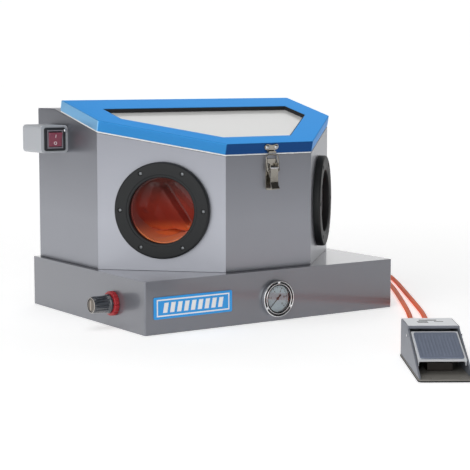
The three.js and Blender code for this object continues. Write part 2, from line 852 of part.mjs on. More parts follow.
// The treadle is hinged under the cover's front edge; the foot presses its free front end down.
function makeTreadle() {
  const { pivotY, pivotZ, slope, front, rear, width, thick, skirt } = TREADLE;
  const frame = new THREE.Group();
  frame.position.set(0, pivotY, pivotZ);
  frame.rotation.x = THREE.MathUtils.degToRad(slope);
  pedal.add(frame);
  const under = 2;
  const half = width / 2;
  const barrel = rod(5, -half, half, 18).rotateY(Math.PI / 2);
  const bore = rod(2.9, -half - 1, half + 1, 16).rotateY(Math.PI / 2);
  const skirts = [-half, half - 1.5].map((x) => block([x, front, under - skirt], [x + 1.5, -8, under + 1]));
  const plate = block([-half, front, under], [half, rear, under + thick]);
  add(frame, "pedal_treadle", cut(join(plate, barrel, ...skirts), bore), castGrey);

  const padTop = under + thick + GAP;
  const pad = raised(roundedRect(72, 85, 4, 0, front + 46), padTop, padTop + 2.5);
  add(frame, "pedal_treadle_pad", pad, padRubber);
}

function makeValve() {
  const { y, radius, valveTop, low, high, collar } = PLUNGER;
  const rear = PEDAL.length / 2 - 2 - PEDAL.wall - 4.6;
  const bore = rod(radius + GAP, 6.5, 60, 18).translate(0, y, 0);
  const body = cut(block([-21, -42, 4 + GAP], [21, rear, valveTop]), bore);
  add(pedal, "pedal_valve_body", body, galvanised);

  const plunger = turned([
    [0, low],
    [radius, low],
    [radius, collar],
    [9.5, collar],
    [9.5, collar + 2],
    [radius, collar + 2],
    [radius, high - 2.2],
    [2, high],
    [0, high],
  ], 16);
  add(pedal, "pedal_valve_plunger", plunger.translate(0, y, 0), brushedSteel);

  // A compression spring between the valve body and the plunger's collar.
  const turns = 4;
  const wire = 0.8;
  const coil = 7.4;
  const start = valveTop + GAP + wire;
  const end = collar - GAP - wire;
  class Helix extends THREE.Curve {
    getPoint(t, target = new THREE.Vector3()) {
      const angle = 2 * Math.PI * turns * t;
      return target.set(coil * Math.cos(angle), coil * Math.sin(angle), start + (end - start) * t);
    }
  }
  const section = new THREE.Shape();
  section.absarc(0, 0, wire, 0, 2 * Math.PI);
  const options = { extrudePath: new Helix(), steps: 60, curveSegments: 3, bevelEnabled: false };
  const spring = new THREE.ExtrudeGeometry(section, options).translate(0, y, 0);
  add(pedal, "pedal_spring", spring, brushedSteel);
}

// ---- air hoses ----------------------------------------------------------------------------------

// Each hose leaves the base's right side, sinks to the floor, sweeps round and runs to the foot valve.
const hoseRoutes = [
  [
    [324.3, 178, 45],
    [340, 178, 44.6],
    [362, 180, 39],
    [390, 186, 24],
    [420, 197, 10.5],
    [450, 211, 5.6],
    [478, 225, HOSE.floor],
    [508, 236, HOSE.floor],
    [540, 235, HOSE.floor],
    [568, 220, HOSE.floor],
    [586, 195, HOSE.floor],
    [593, 165, HOSE.floor],
    [589, 132, HOSE.floor],
    [574, 97, HOSE.floor],
    [548, 52, HOSE.floor],
    [514, -3, HOSE.floor],
    [470, -70, HOSE.floor],
    [425, -138, HOSE.floor],
    [380, -206, HOSE.floor],
    [334, -275, HOSE.floor],
    [288, -343, HOSE.floor],
    [242, -405, HOSE.floor],
    [196, -463, HOSE.floor],
    [150, -514, HOSE.floor],
    [112, -556, 6.2],
    [82, -590, 10],
    [59, -619, 14],
    [45.5, -638.8, 15],
  ],
  [
    [324.3, 150, 45],
    [340, 150, 44.6],
    [362, 152, 39],
    [390, 159, 24],
    [420, 171, 10.5],
    [450, 187, 5.6],
    [478, 202, HOSE.floor],
    [508, 213, HOSE.floor],
    [536, 211, HOSE.floor],
    [557, 195, HOSE.floor],
    [566, 170, HOSE.floor],
    [564, 143, HOSE.floor],
    [552, 112, HOSE.floor],
    [530, 66, HOSE.floor],
    [498, 9, HOSE.floor],
    [456, -56, HOSE.floor],
    [411, -122, HOSE.floor],
    [364, -189, HOSE.floor],
    [316, -257, HOSE.floor],
    [266, -326, HOSE.floor],
    [219, -387, HOSE.floor],
    [172, -445, HOSE.floor],
    [125, -496, HOSE.floor],
    [87, -540, 6.2],
    [58, -575, 10],
    [35.5, -603.8, 14],
    [22, -623.5, 15],
  ],
];

function makeHose(points, index) {
  pedal.updateMatrix();
  const side = index === 0 ? PEDAL_FITTING.x : -PEDAL_FITTING.x;
  const end = new THREE.Vector3(side, PEDAL.length / 2 - 2 + FITTING_OUT + GAP, PEDAL_FITTING.z);
  const stops = points.map(([x, y, z]) => new THREE.Vector3(x, y, z));
  const route = new THREE.CatmullRomCurve3([...stops, end.applyMatrix4(pedal.matrix)], false, "centripetal");
  const section = new THREE.Shape();
  section.absarc(0, 0, HOSE.radius, 0, 2 * Math.PI);
  const options = { extrudePath: route, steps: 46, curveSegments: 5, bevelEnabled: false };
  add(group, "hose_" + (index + 1), new THREE.ExtrudeGeometry(section, options), hoseOrange);
}

// ---- assembly -----------------------------------------------------------------------------------

makeBase();
makeGrate();
makeCabin();
makePort(ports[0], "left");
makePort(ports[1], "right");
makeLid();
makeHinge();
makeLatch();
makeSwitch();
makeRegulator();
makeGauge();
makeNameplate();
makeLamp();
makeBlastGun();
makeRearPieces();
hoseFrames.forEach((frame, i) => makeFitting(frame, "base_hose_fitting_" + (i + 1), 14));
makePedal();
makeTreadle();
makeValve();
hoseRoutes.forEach(makeHose);

export default group;
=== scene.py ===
import math

import bmesh
import bpy
import numpy as np
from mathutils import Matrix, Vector


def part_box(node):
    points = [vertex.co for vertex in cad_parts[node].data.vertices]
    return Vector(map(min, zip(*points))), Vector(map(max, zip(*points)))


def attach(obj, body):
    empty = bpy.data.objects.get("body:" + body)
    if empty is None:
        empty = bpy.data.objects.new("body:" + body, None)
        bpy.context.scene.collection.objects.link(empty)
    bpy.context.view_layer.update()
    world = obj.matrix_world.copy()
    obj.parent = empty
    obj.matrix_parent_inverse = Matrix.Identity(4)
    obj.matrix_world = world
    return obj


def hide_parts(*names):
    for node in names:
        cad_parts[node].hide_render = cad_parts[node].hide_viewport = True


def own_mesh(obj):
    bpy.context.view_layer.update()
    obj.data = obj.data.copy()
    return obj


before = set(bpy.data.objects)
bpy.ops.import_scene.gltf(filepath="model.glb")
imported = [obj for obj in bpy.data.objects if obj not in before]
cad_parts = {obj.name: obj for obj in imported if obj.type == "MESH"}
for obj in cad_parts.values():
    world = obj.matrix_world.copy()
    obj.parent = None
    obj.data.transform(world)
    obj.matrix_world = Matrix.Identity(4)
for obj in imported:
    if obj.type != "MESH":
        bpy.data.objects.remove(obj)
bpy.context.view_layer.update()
MM = 0.001

# ---- studio ------------------------------------------------------
# A product shot: a long lens low at the front left, a pale floor, and a white wall of light behind.
# One large soft box stands at the left, a wide one hangs above, and the right front stays dim.

view_turn, view_rise = math.radians(-34.16), math.radians(6.5)
towards_camera = Vector((
    math.sin(view_turn) * math.cos(view_rise),
    -math.cos(view_turn) * math.cos(view_rise),
    math.sin(view_rise),
))
look_at = Vector((0.0393, -0.0320, 0.150))
camera_distance, lens_length, sensor = 2.99684, 108.95, 36
camera_data = bpy.data.cameras.new("camera")
camera_data.lens = lens_length
camera_data.sensor_width = sensor
camera = bpy.data.objects.new("camera", camera_data)
camera.location = look_at + towards_camera * camera_distance
camera.rotation_mode = "QUATERNION"
camera.rotation_quaternion = (-towards_camera).to_track_quat("-Z", "Y")
bpy.context.scene.collection.objects.link(camera)
bpy.context.scene.camera = camera
bpy.context.scene.view_settings.view_transform = "Standard"


def linear(code):
    """sRGB hex to linear: a channel over 12.92 below 0.04045, else ((c + 0.055) / 1.055) to the 2.4."""
    channel = np.array([int(code[i:i + 2], 16) for i in (1, 3, 5)]) / 255
    bright = ((channel + 0.055) / 1.055) ** 2.4
    return (*np.where(channel <= 0.04045, channel / 12.92, bright).tolist(), 1.0)


def add_node(tree, kind, inputs=None, **settings):
    """Adds one shader node, sets its settings, and fills its inputs from values or from sockets."""
    made = tree.nodes.new("ShaderNode" + kind)
    for key, value in settings.items():
        setattr(made, key, value)
    for key, value in (inputs or {}).items():
        if isinstance(value, bpy.types.NodeSocket):
            tree.links.new(value, made.inputs[key])
        else:
            made.inputs[key].default_value = value
    return made


def soft_box(name, direction, distance, size, power):
    """A square area light that stands off the cabinet's middle in a direction and faces it."""
    data = bpy.data.lights.new(name, "AREA")
    data.size = size
    data.energy = power
    light = bpy.data.objects.new(name, data)
    way = Vector(direction).normalized()
    light.location = look_at + way * distance
    light.rotation_mode = "QUATERNION"
    light.rotation_quaternion = (-way).to_track_quat("-Z", "Y")
    bpy.context.scene.collection.objects.link(light)


soft_box("left_soft_box", (-0.82, -0.58, 0.20), 3.4, 3.2, 46)
soft_box("overhead_soft_box", (-0.2, -0.05, 1.0), 3.2, 2.8, 28)
soft_box("rear_soft_box", (0.75, 0.9, 0.55), 3.6, 1.8, 3)

world = bpy.data.worlds.new("studio")
world.use_nodes = True
bpy.context.scene.world = world
sky = world.node_tree
ray = add_node(sky, "TexCoord").outputs["Generated"]
dim_sky = 0.08
bright_walls = (((0.56, 0.83, 0.0), 0.45, 0.93, 0.93), ((-0.92, -0.38, 0.12), 0.30, 0.95, 0.62))
shares = []
for way, low, high, strength in bright_walls:
    along = add_node(sky, "VectorMath", {0: ray, 1: way}, operation="DOT_PRODUCT").outputs["Value"]
    share = add_node(
        sky, "MapRange", {"Value": along, "From Min": low, "From Max": high, "To Max": strength},
        interpolation_type="SMOOTHSTEP",
    )
    shares.append(share.outputs["Result"])
both = add_node(sky, "Math", {0: shares[0], 1: shares[1]}, operation="ADD")
glow = add_node(sky, "Math", {0: both.outputs[0], 1: dim_sky}, operation="ADD")
sky.nodes["Background"].inputs["Color"].default_value = (1.0, 1.0, 1.0, 1.0)
sky.links.new(glow.outputs[0], sky.nodes["Background"].inputs["Strength"])


def coated(name, dark, light, patch, rough, grain, relief, **constants):
    """A finish whose colour and roughness drift in patches between two values, with a fine grain on it.
    patch and grain are real sizes and relief the grain's height, in millimetres."""
    made = bpy.data.materials.new(name)
    made.use_nodes = True
    tree = made.node_tree
    shader = tree.nodes["Principled BSDF"]
    for key, value in constants.items():
        shader.inputs[key.replace("_", " ")].default_value = value
    where = add_node(tree, "TexCoord").outputs["Object"]
    drift = add_node(tree, "TexNoise", {"Vector": where, "Scale": 1 / (patch * MM), "Detail": 5.0})
    tint = add_node(
        tree, "Mix", {0: drift.outputs[0], 6: linear(dark), 7: linear(light)}, data_type="RGBA"
    )
    wear = add_node(
        tree, "MapRange", {"Value": drift.outputs[0], "To Min": rough[0], "To Max": rough[1]}
    )
    speck = add_node(tree, "TexNoise", {"Vector": where, "Scale": 1 / (grain * MM), "Detail": 3.0})
    bump = add_node(tree, "Bump", {"Height": speck.outputs[0], "Distance": relief * MM})
    tree.links.new(tint.outputs[2], shader.inputs["Base Color"])
    tree.links.new(wear.outputs[0], shader.inputs["Roughness"])
    tree.links.new(bump.outputs[0], shader.inputs["Normal"])
    return made


# A matt seamless paper sweep: nearly white, with a hint of tooth.
paper = coated(
    "matt_paper", "#F4F4F4", "#FAFAFA", 90, (0.85, 0.95), 2.0, 0.05,
    Specular_IOR_Level=0.1, Emission_Color=(1.0, 1.0, 1.0, 1.0),
)
spot = add_node(paper.node_tree, "TexCoord").outputs["Object"]
far = add_node(paper.node_tree, "VectorMath", {0: spot}, operation="LENGTH").outputs["Value"]
# It glows a little more with the distance from its middle, so that it runs out into the white.
lift = add_node(
    paper.node_tree, "MapRange",
    {"Value": far, "From Min": 0.5, "From Max": 4.0, "To Min": 0.46, "To Max": 0.75},
)
paper_shader = paper.node_tree.nodes["Principled BSDF"]
paper.node_tree.links.new(lift.outputs[0], paper_shader.inputs["Emission Strength"])
floor_data = bpy.data.meshes.new("floor")
reach, floor_level = 40.0, -0.5 * MM
floor_corners = ((-reach, -reach), (reach, -reach), (reach, reach), (-reach, reach))
floor_data.from_pydata([(x, y, floor_level) for x, y in floor_corners], [], [(0, 1, 2, 3)])
floor_data.materials.append(paper)
floor = bpy.data.objects.new("floor", floor_data)
bpy.context.scene.collection.objects.link(floor)

# ---- air hoses ---------------------------------------------------
# Two 10 mm polyurethane air tubes, extruded in orange, join the base to the foot valve.
# Each is pushed into a black fitting at both ends and lies loose on the floor in a long sweep.


def piece(name, points, faces, material, smooth_below=38):
    """A mesh object from points in millimetres, welded, with its faces turned outwards and shaded smooth
    across edges flatter than smooth_below degrees."""
    data = bpy.data.meshes.new(name)
    data.from_pydata((np.asarray(points, float).reshape(-1, 3) * MM).tolist(), [], faces)
    work = bmesh.new()
    work.from_mesh(data)
    bmesh.ops.remove_doubles(work, verts=work.verts, dist=2e-6)
    bmesh.ops.recalc_face_normals(work, faces=work.faces)
    work.to_mesh(data)
    work.free()
    data.polygons.foreach_set("use_smooth", [True] * len(data.polygons))
    data.set_sharp_from_angle(angle=math.radians(smooth_below))
    data.materials.append(material)
    made = bpy.data.objects.new(name, data)
    bpy.context.scene.collection.objects.link(made)
    return made


def mounted(made, body, stands_for=None):
    """Lets a finished piece ride on a body, and hides the CAD node that it stands for."""
    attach(made, body)
    if stands_for:
        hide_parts(stands_for)
    return made


def quads(rows, columns, wrap_rows=False, wrap_columns=True, start=0):
    """The faces of a grid of points: each point with its next in the row and in the column."""
    row = np.arange(rows if wrap_rows else rows - 1)[:, None]
    column = np.arange(columns if wrap_columns else columns - 1)[None, :]
    down, right = (row + 1) % rows, (column + 1) % columns
    corners = (row * columns + column, row * columns + right, down * columns + right, down * columns + column)
    return (np.stack(corners, -1).reshape(-1, 4) + start).tolist()


def swept(path, radius, sides, reference=(0, 0, 1)):
    """A round tube: at each point of the path a circle in the plane square to the path's direction,
    laid out from the direction crossed with a reference vector. Both ends are closed to a point."""
    ahead = np.gradient(path, axis=0)
    ahead /= np.linalg.norm(ahead, axis=1, keepdims=True)
    side = np.cross(ahead, np.asarray(reference, float))
    side /= np.linalg.norm(side, axis=1, keepdims=True)
    other = np.cross(side, ahead)
    angle = np.linspace(0, 2 * np.pi, sides, endpoint=False)[None, :, None]
    rings = path[:, None] + radius * (np.cos(angle) * side[:, None] + np.sin(angle) * other[:, None])
    ends = [np.repeat(path[[i]], sides, axis=0)[None] for i in (0, -1)]
    grid = np.concatenate([ends[0], rings, ends[1]])
    return grid, quads(len(grid), sides)


def smooth_route(stops, per_span=12):
    """A centripetal Catmull-Rom curve through the stops: on each span a cubic whose end slopes come from
    the neighbouring stops, with knots spaced by the square root of the distance."""
    stops = np.asarray(stops, float)
    ends = (2 * stops[0] - stops[1], 2 * stops[-1] - stops[-2])
    p = np.vstack([ends[0], stops, ends[1]])
    gap = np.linalg.norm(np.diff(p, axis=0), axis=1, keepdims=True) ** 0.5
    before, here, after = gap[:-2], gap[1:-1], gap[2:]
    a, b, c, d = p[:-3], p[1:-2], p[2:-1], p[3:]
    leave = here * ((b - a) / before - (c - a) / (before + here) + (c - b) / here)
    reach_in = here * ((c - b) / here - (d - b) / (here + after) + (d - c) / after)
    t = np.linspace(0, 1, per_span, endpoint=False)[None, :, None]
    blend = (2 * t**3 - 3 * t**2 + 1, t**3 - 2 * t**2 + t, -2 * t**3 + 3 * t**2, t**3 - t**2)
    parts = (b, leave, c, reach_in)
    spans = sum(share * part[:, None] for share, part in zip(blend, parts))
    return np.vstack([spans.reshape(-1, 3), stops[-1:]])


def box_mm(node):
    """Lowest and highest corner of a CAD node, in millimetres."""
    low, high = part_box(node)
    return np.array(low) / MM, np.array(high) / MM


def middle(node):
    """The middle of a CAD node's box, in millimetres."""
    return sum(box_mm(node)) / 2


pedal_turn = math.radians(-33)
pedal_middle = middle("pedal_base_plate") * (1, 1, 0)


def on_pedal(points):
    """Points drawn square to the foot valve, turned with it and put where it stands."""
    c, s = math.cos(pedal_turn), math.sin(pedal_turn)
    return np.asarray(points, float) @ np.array([[c, s, 0], [-s, c, 0], [0, 0, 1]]) + pedal_middle


floor_line = 5.3
hose_radius, hose_sides = 5.0, 20
fitting_shoulder, fitting_height = 132.3, 15


def laid(drop, sweep, climb):
    """A hose's stops: down from the base, along the floor at one height, and up to the foot valve."""
    return [*drop, *((x, y, floor_line) for x, y in sweep), *climb]


hose_routes = [
    laid(
        [
            (324.3, 178, 45), (340, 178, 44.6), (362, 180, 39), (390, 186, 24), (420, 197, 10.5),
            (450, 211, 5.6),
        ],
        [
            (478, 225), (508, 236), (540, 235), (568, 220), (586, 195), (593, 165), (589, 132), (574, 97),
            (548, 52), (514, -3), (470, -70), (425, -138), (380, -206), (334, -275), (288, -343),
            (242, -405), (196, -463), (150, -514),
        ],
        [(112, -556, 6.2), (82, -590, 10), (59, -619, 14), (45.5, -638.8, 15)],
    ),
    laid(
        [
            (324.3, 150, 45), (340, 150, 44.6), (362, 152, 39), (390, 159, 24), (420, 171, 10.5),
            (450, 187, 5.6),
        ],
        [
            (478, 202), (508, 213), (536, 211), (557, 195), (566, 170), (564, 143), (552, 112), (530, 66),
            (498, 9), (456, -56), (411, -122), (364, -189), (316, -257), (266, -326), (219, -387),
            (172, -445), (125, -496),
        ],
        [(87, -540, 6.2), (58, -575, 10), (35.5, -603.8, 14), (22, -623.5, 15)],
    ),
]
# Extruded polyurethane: a saturated orange right through, half matt, with faint rubbing marks.
orange_tube = coated(
    "orange_polyurethane_tube", "#E85A20", "#F26C34", 60, (0.45, 0.55), 4, 0.02,
    Specular_IOR_Level=0.12, Subsurface_Weight=0.1, Subsurface_Scale=0.002,
)
for number, (stops, side) in enumerate(zip(hose_routes, (14, -14)), start=1):
    seat = on_pedal([(side, fitting_shoulder, fitting_height)])
    line = smooth_route([*stops, *seat])
    grid, faces = swept(line, hose_radius, hose_sides)
    hose = piece(f"air_hose_{number}", grid, faces, orange_tube)
    mounted(hose, "root", f"hose_{number}")

# ---- hose fittings -----------------------------------------------
# Four push-in fittings of black glass-filled nylon, with a hexagon to turn them and a release collar.
# Their threaded stems go through the base's side and the foot valve's rear wall.


def rounded(profile, radius, steps=3, closed=False):
    """The profile with each corner replaced by a curve that starts and ends radius away from it, or a
    third of the side where that is shorter: the quadratic curve whose middle point is the corner."""
    p = np.asarray(profile, float)
    if not closed:
        p = np.vstack([p[:1], p, p[-1:]])
    before, after = np.roll(p, 1, axis=0), np.roll(p, -1, axis=0)
    if not closed:
        before, p, after = p[:-2], p[1:-1], p[2:]
    away = [q - p for q in (before, after)]
    size = [np.linalg.norm(v, axis=1, keepdims=True) for v in away]
    cut = [np.where(n > 0, np.minimum(radius, n / 3) / np.maximum(n, 1e-9), 0) for n in size]
    start, end = (p + v * k for v, k in zip(away, cut))
    t = np.linspace(0, 1, steps + 1)[None, :, None]
    curve = (1 - t) ** 2 * start[:, None] + 2 * t * (1 - t) * p[:, None] + t**2 * end[:, None]
    return curve.reshape(-1, 2)


def lathe(profile, segments=96, swell=None):
    """A profile of (radius, height) turned about the local z axis. swell multiplies the radius, and is
    an array over the profile's points and the angle."""
    profile = np.asarray(profile, float)
    angle = np.linspace(0, 2 * np.pi, segments, endpoint=False)
    radius = profile[:, :1] * (1 if swell is None else swell)
    height = np.broadcast_to(profile[:, 1:], radius.shape if swell is not None else (len(profile), 1))
    x, y = radius * np.cos(angle), radius * np.sin(angle)
    return np.stack([x, y, np.broadcast_to(height, x.shape)], -1)


def turned_part(
    name, profile, turns, place, material, body, stands_for=None, swell=None, closed=False, smooth=50
):
    """A piece turned about the local z axis from its profile, put in its place and on its body."""
    faces = quads(len(profile), turns, closed)
    made = piece(name, place(lathe(profile, turns, swell)), faces, material, smooth)
    return mounted(made, body, stands_for)


def facing(origin, out):
    """A function that puts local points on a panel: z runs out of it along out, and y is up."""
    outward = np.asarray(out, float) / np.linalg.norm(out)
    right = np.cross((0, 0, 1), outward)
    return lambda points: (
        np.asarray(points, float) @ np.stack([right, (0, 0, 1), outward]) + np.asarray(origin, float)
    )


# Moulded glass-filled nylon: black, half matt, with the faint orange-peel of its mould.
black_nylon = coated("black_glass_filled_nylon", "#1D1E20", "#2A2B2E", 9, (0.38, 0.5), 0.7, 0.03)


fitting_turns = 72


def fitting(name, node, place, stem):
    """Stem, hexagon, body and release collar on one axis. In the hexagon the radius is the flat's
    distance over the cosine of the angle from the nearest flat's middle."""
    profile = rounded([
        (0, -stem), (4.6, -stem), (5.8, -stem + 1), (5.8, 0.4), (8.6, 0.4), (8.6, 7.9), (7.6, 8.4),
        (7.6, 19.6), (6.9, 20.4), (6.3, 20.8), (6.3, 22.2), (8.1, 22.4), (8.1, 23.8), (5.4, 23.95),
        (5.1, 23.2), (0, 23.2),
    ], 0.4)
    angle = np.linspace(0, 2 * np.pi, fitting_turns, endpoint=False)
    flat = 1 / np.cos((angle + np.pi / 6) % (np.pi / 3) - np.pi / 6)
    hexagon = (profile[:, 1] > 0.45) & (profile[:, 1] < 8.15) & (profile[:, 0] > 8.2)
    swell = np.where(hexagon[:, None], flat, 1.0)
    turned_part(
        name, profile, fitting_turns, place, black_nylon, "root", node, swell, smooth=32
    )


right_panel, valve_rear = 300.0, 108
for number, side in ((1, 14), (2, -14)):
    base_side = facing((right_panel, *middle(f"base_hose_fitting_{number}")[1:]), (1, 0, 0))
    fitting(f"base_push_fitting_{number}", f"base_hose_fitting_{number}", base_side, 14)

    def pedal_rear(points, side=side):
        """Local z out of the foot valve's rear wall, at this fitting's place."""
        turned = np.asarray(points, float)[..., [0, 2, 1]] * (1, 1, -1)
        return on_pedal(turned.reshape(-1, 3) + (side, valve_rear, fitting_height))

    fitting(f"pedal_push_fitting_{number}", f"pedal_fitting_{number}", pedal_rear, 8)

# ---- base casing -------------------------------------------------
# A low box of folded 2 mm steel sheet, welded at the corners and coated in a silver-grey powder enamel.
# Its folds are round outside; the cut edges of the sheet are only broken. The floor plate lies inside it.


def folded(name, node, body, material, fold=2.4, edge=0.5, broad=2500, split=False):
    """A welded copy of a CAD shell with its edges rounded: the folds between two faces larger than broad
    square millimetres get the fold's radius, and every other sharp edge is broken by edge. A shell with an
    opening is split into triangles first."""
    weld, nearly_flat, sharp = 4e-6, math.radians(0.6), math.radians(28)
    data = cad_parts[node].data.copy()
    data.name = name
    data.materials.clear()
    data.materials.append(material)
    work = bmesh.new()
    work.from_mesh(data)
    bmesh.ops.remove_doubles(work, verts=work.verts, dist=weld)
    bmesh.ops.dissolve_limit(
        work, angle_limit=nearly_flat, verts=work.verts, edges=work.edges, delimit=set()
    )
    if split:
        bmesh.ops.triangulate(work, faces=work.faces, ngon_method="EAR_CLIP")
    layers = work.edges.layers.float
    weight = layers.get("bevel_weight_edge") or layers.new("bevel_weight_edge")
    for line in work.edges:
        if len(line.link_faces) == 2 and line.calc_face_angle(0) > sharp:
            wide = min(face.calc_area() for face in line.link_faces) > broad * MM * MM
            line[weight] = 1.0 if wide else edge / fold
    work.to_mesh(data)
    work.free()
    data.polygons.foreach_set("use_smooth", [True] * len(data.polygons))
    made = bpy.data.objects.new(name, data)
    bpy.context.scene.collection.objects.link(made)
    bevel = made.modifiers.new("folds", "BEVEL")
    bevel.limit_method = "WEIGHT"
    bevel.width = fold * MM
    bevel.segments = 4
    bevel.use_clamp_overlap = True
    flats = made.modifiers.new("flat_faces", "WEIGHTED_NORMAL")
    flats.weight = 90
    return mounted(made, body, node)


# Silver-grey powder coat: aluminium flake in a polyester film, so it is part metallic; the film has an
# orange peel of about 1.5 mm and dulls a little in patches.
grey_enamel = coated(
    "silver_grey_powder_coat", "#989AA1", "#A1A3AB", 160, (0.34, 0.44), 1.5, 0.02,
    Metallic=0.8, Specular_IOR_Level=0.35, Coat_Weight=0.2, Coat_Roughness=0.16,
)


def height_share(material, start, end, **settings):
    """0 where z is start and 1 where it is end, in millimetres."""
    tree = material.node_tree
    height = add_node(tree, "SeparateXYZ", {0: add_node(tree, "TexCoord").outputs["Object"]}).outputs["Z"]
    span = {"Value": height, "From Min": start * MM, "From Max": end * MM}
    return add_node(tree, "MapRange", span, **settings)


def toned(material, layers):
    """Lays tints over a finish's colour, one on the other, each mixed in by a share from 0 to 1."""
    tree = material.node_tree
    shader = tree.nodes["Principled BSDF"]
    colour = shader.inputs["Base Color"].links[0].from_socket
    for share, tint in layers:
        mixed = add_node(tree, "Mix", {0: share.outputs[0], 6: colour, 7: linear(tint)}, data_type="RGBA")
        colour = mixed.outputs[2]
    tree.links.new(colour, shader.inputs["Base Color"])


# Painted shade: the grey darkens evenly towards the cabin's rim.
toned(grey_enamel, [(height_share(grey_enamel, 200, 400), "#7B7D84")])
# The base's coat: a darker grey under a clear layer, so that its top mirrors the cabin softly.
base_enamel = coated(
    "smoke_grey_powder_coat", "#777980", "#808289", 160, (0.36, 0.46), 1.5, 0.02,
    Metallic=0.6, Specular_IOR_Level=0.3, Coat_Weight=1.0, Coat_Roughness=0.12,
)
folded("base_casing", "base_shell", "root", base_enamel)

# Hot-dip galvanised sheet: cool grey zinc with soft spangles a few centimetres across.
zinc = coated("galvanised_sheet", "#8E9296", "#B4B8BB", 22, (0.32, 0.55), 2.0, 0.015, Metallic=0.85)
folded("floor_plate", "base_floor_plate", "root", zinc, fold=0.6)
folded("abrasive_tray", "media_pan", "root", zinc, fold=1.2)
folded("slotted_grate", "work_grate", "root", zinc, fold=0.8, edge=0.4)

# ---- cabin -------------------------------------------------------
# The blasting cabin is folded from the same coated sheet, with a sloping rim for the lid and a separate
# bent cover behind the hinge. A white foam strip is glued along the rim to keep the dust in.
folded("cabin_casing", "cabin_shell", "root", grey_enamel, fold=2.0)
folded("hinge_cover", "rear_top_cover", "root", grey_enamel, fold=1.6)
# Closed-cell polyethylene foam: soft white, matt, with cells of about a millimetre.
foam = coated("white_foam_strip", "#E9E9E6", "#F6F6F4", 12, (0.8, 0.95), 1.0, 0.12, Sheen_Weight=0.2)
folded("dust_strip", "rim_gasket", "root", foam, fold=0.8, edge=0.5)

# ---- glove ports -------------------------------------------------
# Each port is a turned and black-coated ring, screwed through the cabin's 45 degree wall by six screws
# that sit in counterbores, and it clamps the glove's cuff against a plain ring inside.
port_outer, port_inner, port_front = 95.0, 65.0, 16.3
screw_circle, pocket_floor, pocket_radius = 83.5, 13.6, 4.6
port_turns, pocket_turns = 144, 40
# Satin black enamel on steel: a fine, even texture with a slight green-grey in the light.
black_enamel = coated(
    "satin_black_enamel", "#17191A", "#202224", 25, (0.46, 0.58), 0.9, 0.05, Specular_IOR_Level=0.3
)
# Zinc-plated steel, bright and slightly blue, turned and tumbled.
bright_steel = coated("bright_plated_steel", "#BFC2C6", "#DCDEE0", 6, (0.18, 0.3), 0.6, 0.01, Metallic=1.0)
# The same steel with a dull, darker surface, for the ports' screws.
dull_steel = coated("dusty_steel", "#808386", "#9A9DA0", 3, (0.35, 0.5), 0.6, 0.03, Metallic=0.9)


def crossed_head(radius, height, segments=40):
    """A domed screw head on the local z axis: its height falls with the square of the radius, and a cross
    is sunk in it where a point is near either axis and close to the middle."""
    share = np.array([0, 0.1, 0.2, 0.3, 0.4, 0.5, 0.6, 0.72, 0.84, 0.93, 1.0])[:, None]
    angle = np.linspace(0, 2 * np.pi, segments, endpoint=False)[None, :]
    x, y = radius * share * np.cos(angle), radius * share * np.sin(angle)
    z = height * (1 - 0.55 * share**2.4) + 0 * angle
    slot = (np.minimum(abs(x), abs(y)) < 0.14 * radius) & (np.hypot(x, y) < 0.56 * radius)
    z = np.where(slot, z - 0.35 * height, z)
    top = np.stack([x + 0 * z, y + 0 * z, z], -1)
    foot = top[-1:] * (1, 1, 0)
    heart = foot * (0, 0, 0)
    return np.concatenate([top, foot, heart])


def screws(name, body, places, heads, material=bright_steel):
    """All the screws of one joint as one mesh: each head is the same grid, moved to its own place."""
    points, faces, start = [], [], 0
    for place, head in zip(places, heads):
        points.append(place(head).reshape(-1, 3))
        faces += quads(len(head), head.shape[1], start=start)
        start += head.shape[0] * head.shape[1]
    return mounted(piece(name, np.vstack(points), faces, material, 30), body)


def port_ring(side, place):
    """The ring's profile turned once round, with six round pockets cut in its front face."""
    profile = rounded([
        (port_inner, 0.3), (port_outer, 0.3), (port_outer, 12.6), (93.9, 15.4), (91.6, port_front),
        (71.5, port_front), (69.8, 15.1), (66.6, 15.1), (port_inner, 13.7),
    ], 0.7, closed=True)
    ring_faces = quads(len(profile), port_turns, True)
    ring = piece(f"{side}_glove_port", place(lathe(profile, port_turns)), ring_faces, black_enamel)
    pocket = rounded([(0, pocket_floor), (pocket_radius, pocket_floor), (pocket_radius, 30), (0, 30)], 0.01)
    angles = np.arange(6) * np.pi / 3
    drills, faces = [], []
    for i, angle in enumerate(angles):
        spot = (screw_circle * math.cos(angle), screw_circle * math.sin(angle), 0)
        grid = lathe(pocket, pocket_turns)
        faces += quads(len(pocket), pocket_turns, start=i * len(pocket) * pocket_turns)
        drills.append(place(grid + spot).reshape(-1, 3))
    drill = piece(f"{side}_pockets", np.vstack(drills), faces, black_enamel)
    carve = ring.modifiers.new("pockets", "BOOLEAN")
    carve.object = drill
    carve.operation = "DIFFERENCE"
    carve.solver = "EXACT"
    carved = bpy.data.meshes.new_from_object(ring.evaluated_get(bpy.context.evaluated_depsgraph_get()))
    ring.modifiers.clear()
    ring.data = carved
    bpy.data.objects.remove(drill)
    carved.polygons.foreach_set("use_smooth", [True] * len(carved.polygons))
    carved.set_sharp_from_angle(angle=math.radians(38))
    mounted(ring, "root", f"{side}_port_ring")
    seats = [(screw_circle * math.cos(a), screw_circle * math.sin(a), pocket_floor) for a in angles]
    spots = [lambda head, seat=seat: place(head + seat) for seat in seats]
    screws(f"{side}_port_screws", "root", spots, [crossed_head(3.1, 1.6)] * 6, material=dull_steel)


ports = {}
for side, hand in (("left", -1), ("right", 1)):
    out = np.array([hand, -1, 0]) / math.sqrt(2)
    ports[side] = facing(middle(f"{side}_port_ring") - out * 8.3, out)
    port_ring(side, ports[side])
    folded(f"{side}_cuff_clamp", f"{side}_glove_clamp", "root", zinc, fold=0.5)

